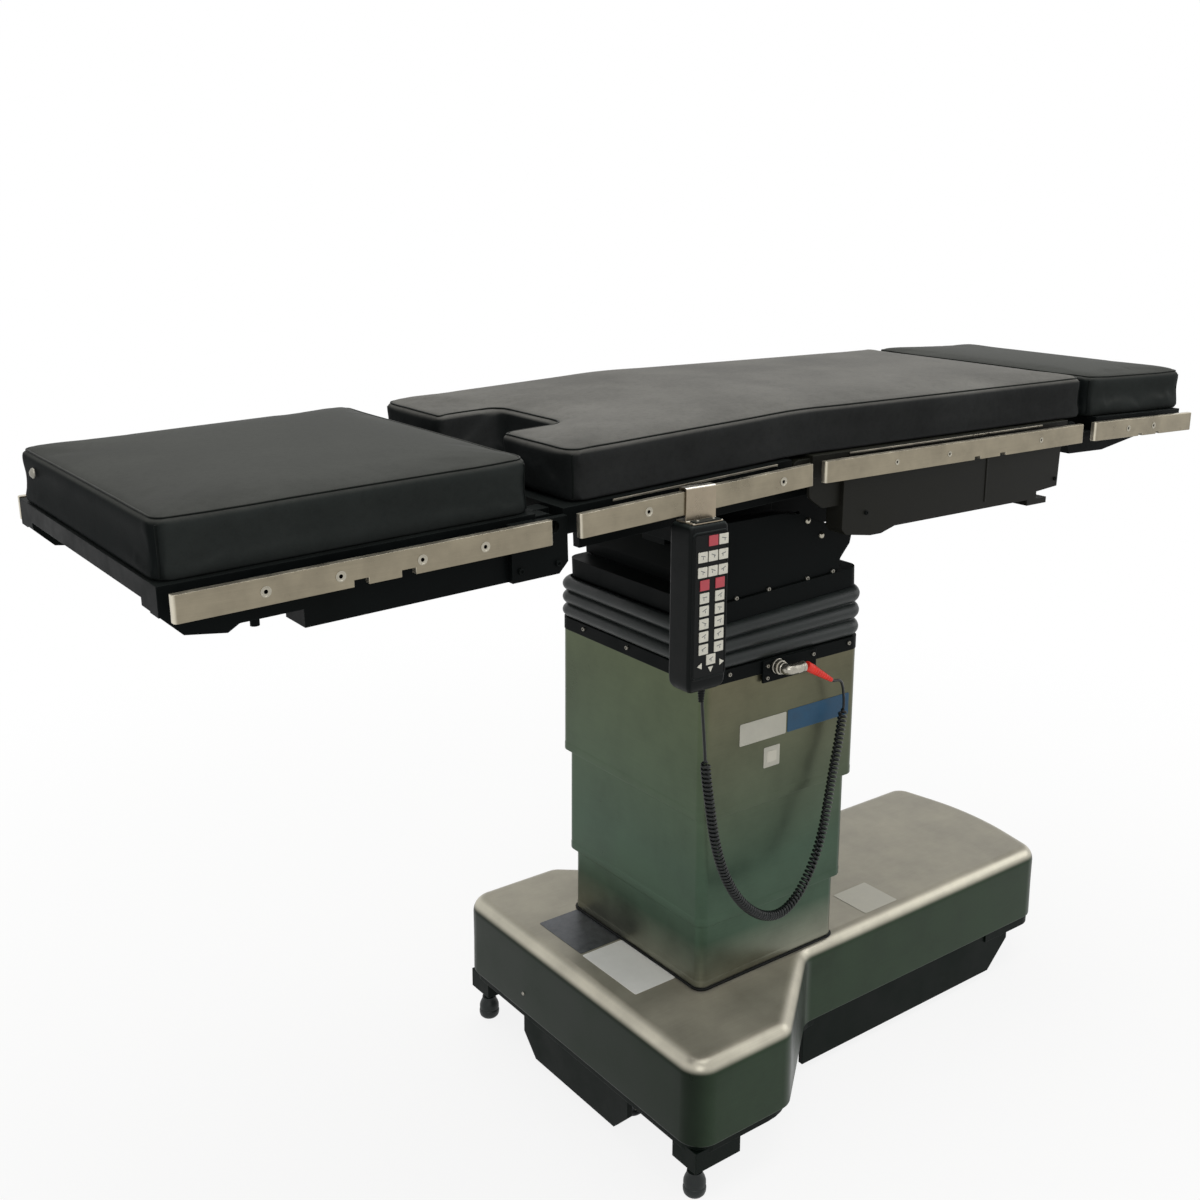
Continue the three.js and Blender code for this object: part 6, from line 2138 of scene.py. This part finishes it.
@dataclass(frozen=True)
class Camera:
    """The photograph's camera: place from the column in millimetres, turn in degrees, lens in photo pixels."""

    place: Point = (-1458, -1685, 1481)
    yaw: float = 38.11
    pitch: float = -12.47
    roll: float = 0.68
    lens: float = 1399.9
    centre: Flat = (644.6, 498.1)
    film: float = 36.0

    def build(self, layout: Layout) -> None:
        """Sets the scene's camera.

        Args:
            layout: where the table stands.
        """
        yaw, pitch, roll = (math.radians(a) for a in (self.yaw, self.pitch, self.roll))
        ahead = Vector((math.sin(yaw) * math.cos(pitch), math.cos(yaw) * math.cos(pitch), math.sin(pitch)))
        right = Vector((math.cos(yaw), -math.sin(yaw), 0))
        up = right.cross(ahead)
        across = right * math.cos(roll) + up * math.sin(roll)
        upright = up * math.cos(roll) - right * math.sin(roll)
        turn = Matrix((across, upright, -ahead)).transposed().to_4x4()
        data = bpy.data.cameras.new("photo_camera")
        camera = new_object("photo_camera", data)
        camera.matrix_world = Matrix.Translation(Vector((layout.x, 0, 0)) * MM + Vector(self.place) * MM) @ turn
        data.sensor_fit = "HORIZONTAL"
        data.sensor_width = self.film
        data.lens = self.lens / PHOTO_SIDE * self.film
        data.shift_x = (PHOTO_SIDE / 2 - self.centre[0]) / PHOTO_SIDE
        data.shift_y = (self.centre[1] - PHOTO_SIDE / 2) / PHOTO_SIDE
        bpy.context.scene.camera = camera


@dataclass(frozen=True)
class Studio:
    """A pale floor, a white surround and three large soft lamps."""

    world_level: float = 0.42
    floor_half: float = 9.0
    floor_z: float = -0.0005
    lamps: tuple[tuple[str, Point, Point, float, float], ...] = (
        ("overhead_softbox", (0.2, 0.1, 3.1), (0.0, 0.0, 0.6), 2.8, 46),
        ("near_softbox", (-2.2, -2.6, 2.5), (0.0, 0.0, 0.7), 1.8, 22),
        ("head_softbox", (2.9, -1.2, 1.9), (0.1, 0.0, 0.7), 1.5, 16),
    )

    def build(self) -> None:
        """Builds the surround, the floor and the lamps."""
        bpy.context.scene.view_settings.view_transform = "Standard"
        world = bpy.data.worlds.new("white_surround")
        bpy.context.scene.world = world
        world.use_nodes = True
        tree = world.node_tree
        tree.nodes.clear()
        path = add_node(tree, "ShaderNodeLightPath").outputs
        seen = path["Is Camera Ray"]
        for ray in ("Is Glossy Ray", "Is Transmission Ray"):
            seen = add_node(tree, "ShaderNodeMath", {0: seen, 1: path[ray]}, operation="MAXIMUM").outputs[0]
        level = add_node(
            tree, "ShaderNodeMapRange", {"Value": seen, "To Min": self.world_level, "To Max": 1.0},
        ).outputs["Result"]
        glow = add_node(tree, "ShaderNodeBackground", {"Color": (1, 1, 1, 1), "Strength": level})
        add_node(tree, "ShaderNodeOutputWorld", {"Surface": glow.outputs[0]})
        self._floor()
        for name, place, aim, size, power in self.lamps:
            data = bpy.data.lights.new(name, "AREA")
            data.shape = "SQUARE"
            data.size = size
            data.energy = power
            lamp = new_object(name, data)
            turn = (Vector(aim) - Vector(place)).to_track_quat("-Z", "Y").to_matrix().to_4x4()
            lamp.matrix_world = Matrix.Translation(place) @ turn

    def _floor(self) -> None:
        """Lays the pale floor, which shows almost white and keeps the table's shadow."""
        material = bpy.data.materials.new("floor_pale_matt")
        material.use_nodes = True
        tree = material.node_tree
        tree.nodes.clear()
        pale = add_node(tree, "ShaderNodeBsdfDiffuse", {"Color": linear("#f6f6f3")})
        white = add_node(tree, "ShaderNodeEmission", {"Color": (1, 1, 1, 1), "Strength": 1.0})
        path = add_node(tree, "ShaderNodeLightPath")
        seen = add_node(
            tree, "ShaderNodeMath", {0: path.outputs["Is Camera Ray"], 1: path.outputs["Is Glossy Ray"]},
            operation="MAXIMUM",
        ).outputs[0]
        place = add_node(tree, "ShaderNodeTexCoord").outputs["Object"]
        away = add_node(tree, "ShaderNodeVectorMath", {0: place}, operation="LENGTH").outputs["Value"]
        fade = add_node(
            tree, "ShaderNodeMapRange",
            {"Value": away, "From Min": 0.6, "From Max": 2.6, "To Min": 0.86, "To Max": 1.0},
            interpolation_type="SMOOTHSTEP",
        ).outputs["Result"]
        share = add_node(tree, "ShaderNodeMath", {0: seen, 1: fade}, operation="MULTIPLY").outputs[0]
        mixed = add_node(tree, "ShaderNodeMixShader", {0: share, 1: pale.outputs[0], 2: white.outputs[0]})
        add_node(tree, "ShaderNodeOutputMaterial", {"Surface": mixed.outputs[0]})
        h, z = self.floor_half, self.floor_z
        data = bpy.data.meshes.new("floor")
        data.from_pydata([(-h, -h, z), (h, -h, z), (h, h, z), (-h, h, z)], [], [(0, 1, 2, 3)])
        data.materials.append(material)
        new_object("floor", data)


def main() -> None:
    """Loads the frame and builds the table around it."""
    logging.basicConfig(level=logging.INFO, format="%(name)s: %(message)s")
    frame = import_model()
    layout = Layout()
    Camera().build(layout)
    repeats = Repeats()
    boot = CordPlug().build()
    CurlyCord(layout, boot).build()
    Base(layout, repeats).build()
    Column(layout, repeats).build()
    Bellows(layout).build()
    TiltingHead(layout, repeats).build()
    SideRails(layout, repeats).build()
    Frames(layout, repeats).build()
    HandControl(layout, repeats).build()
    Pads(layout).build()
    dress_frame(frame["nodes"])
    Studio().build()


if __name__ == "__main__":
    main()
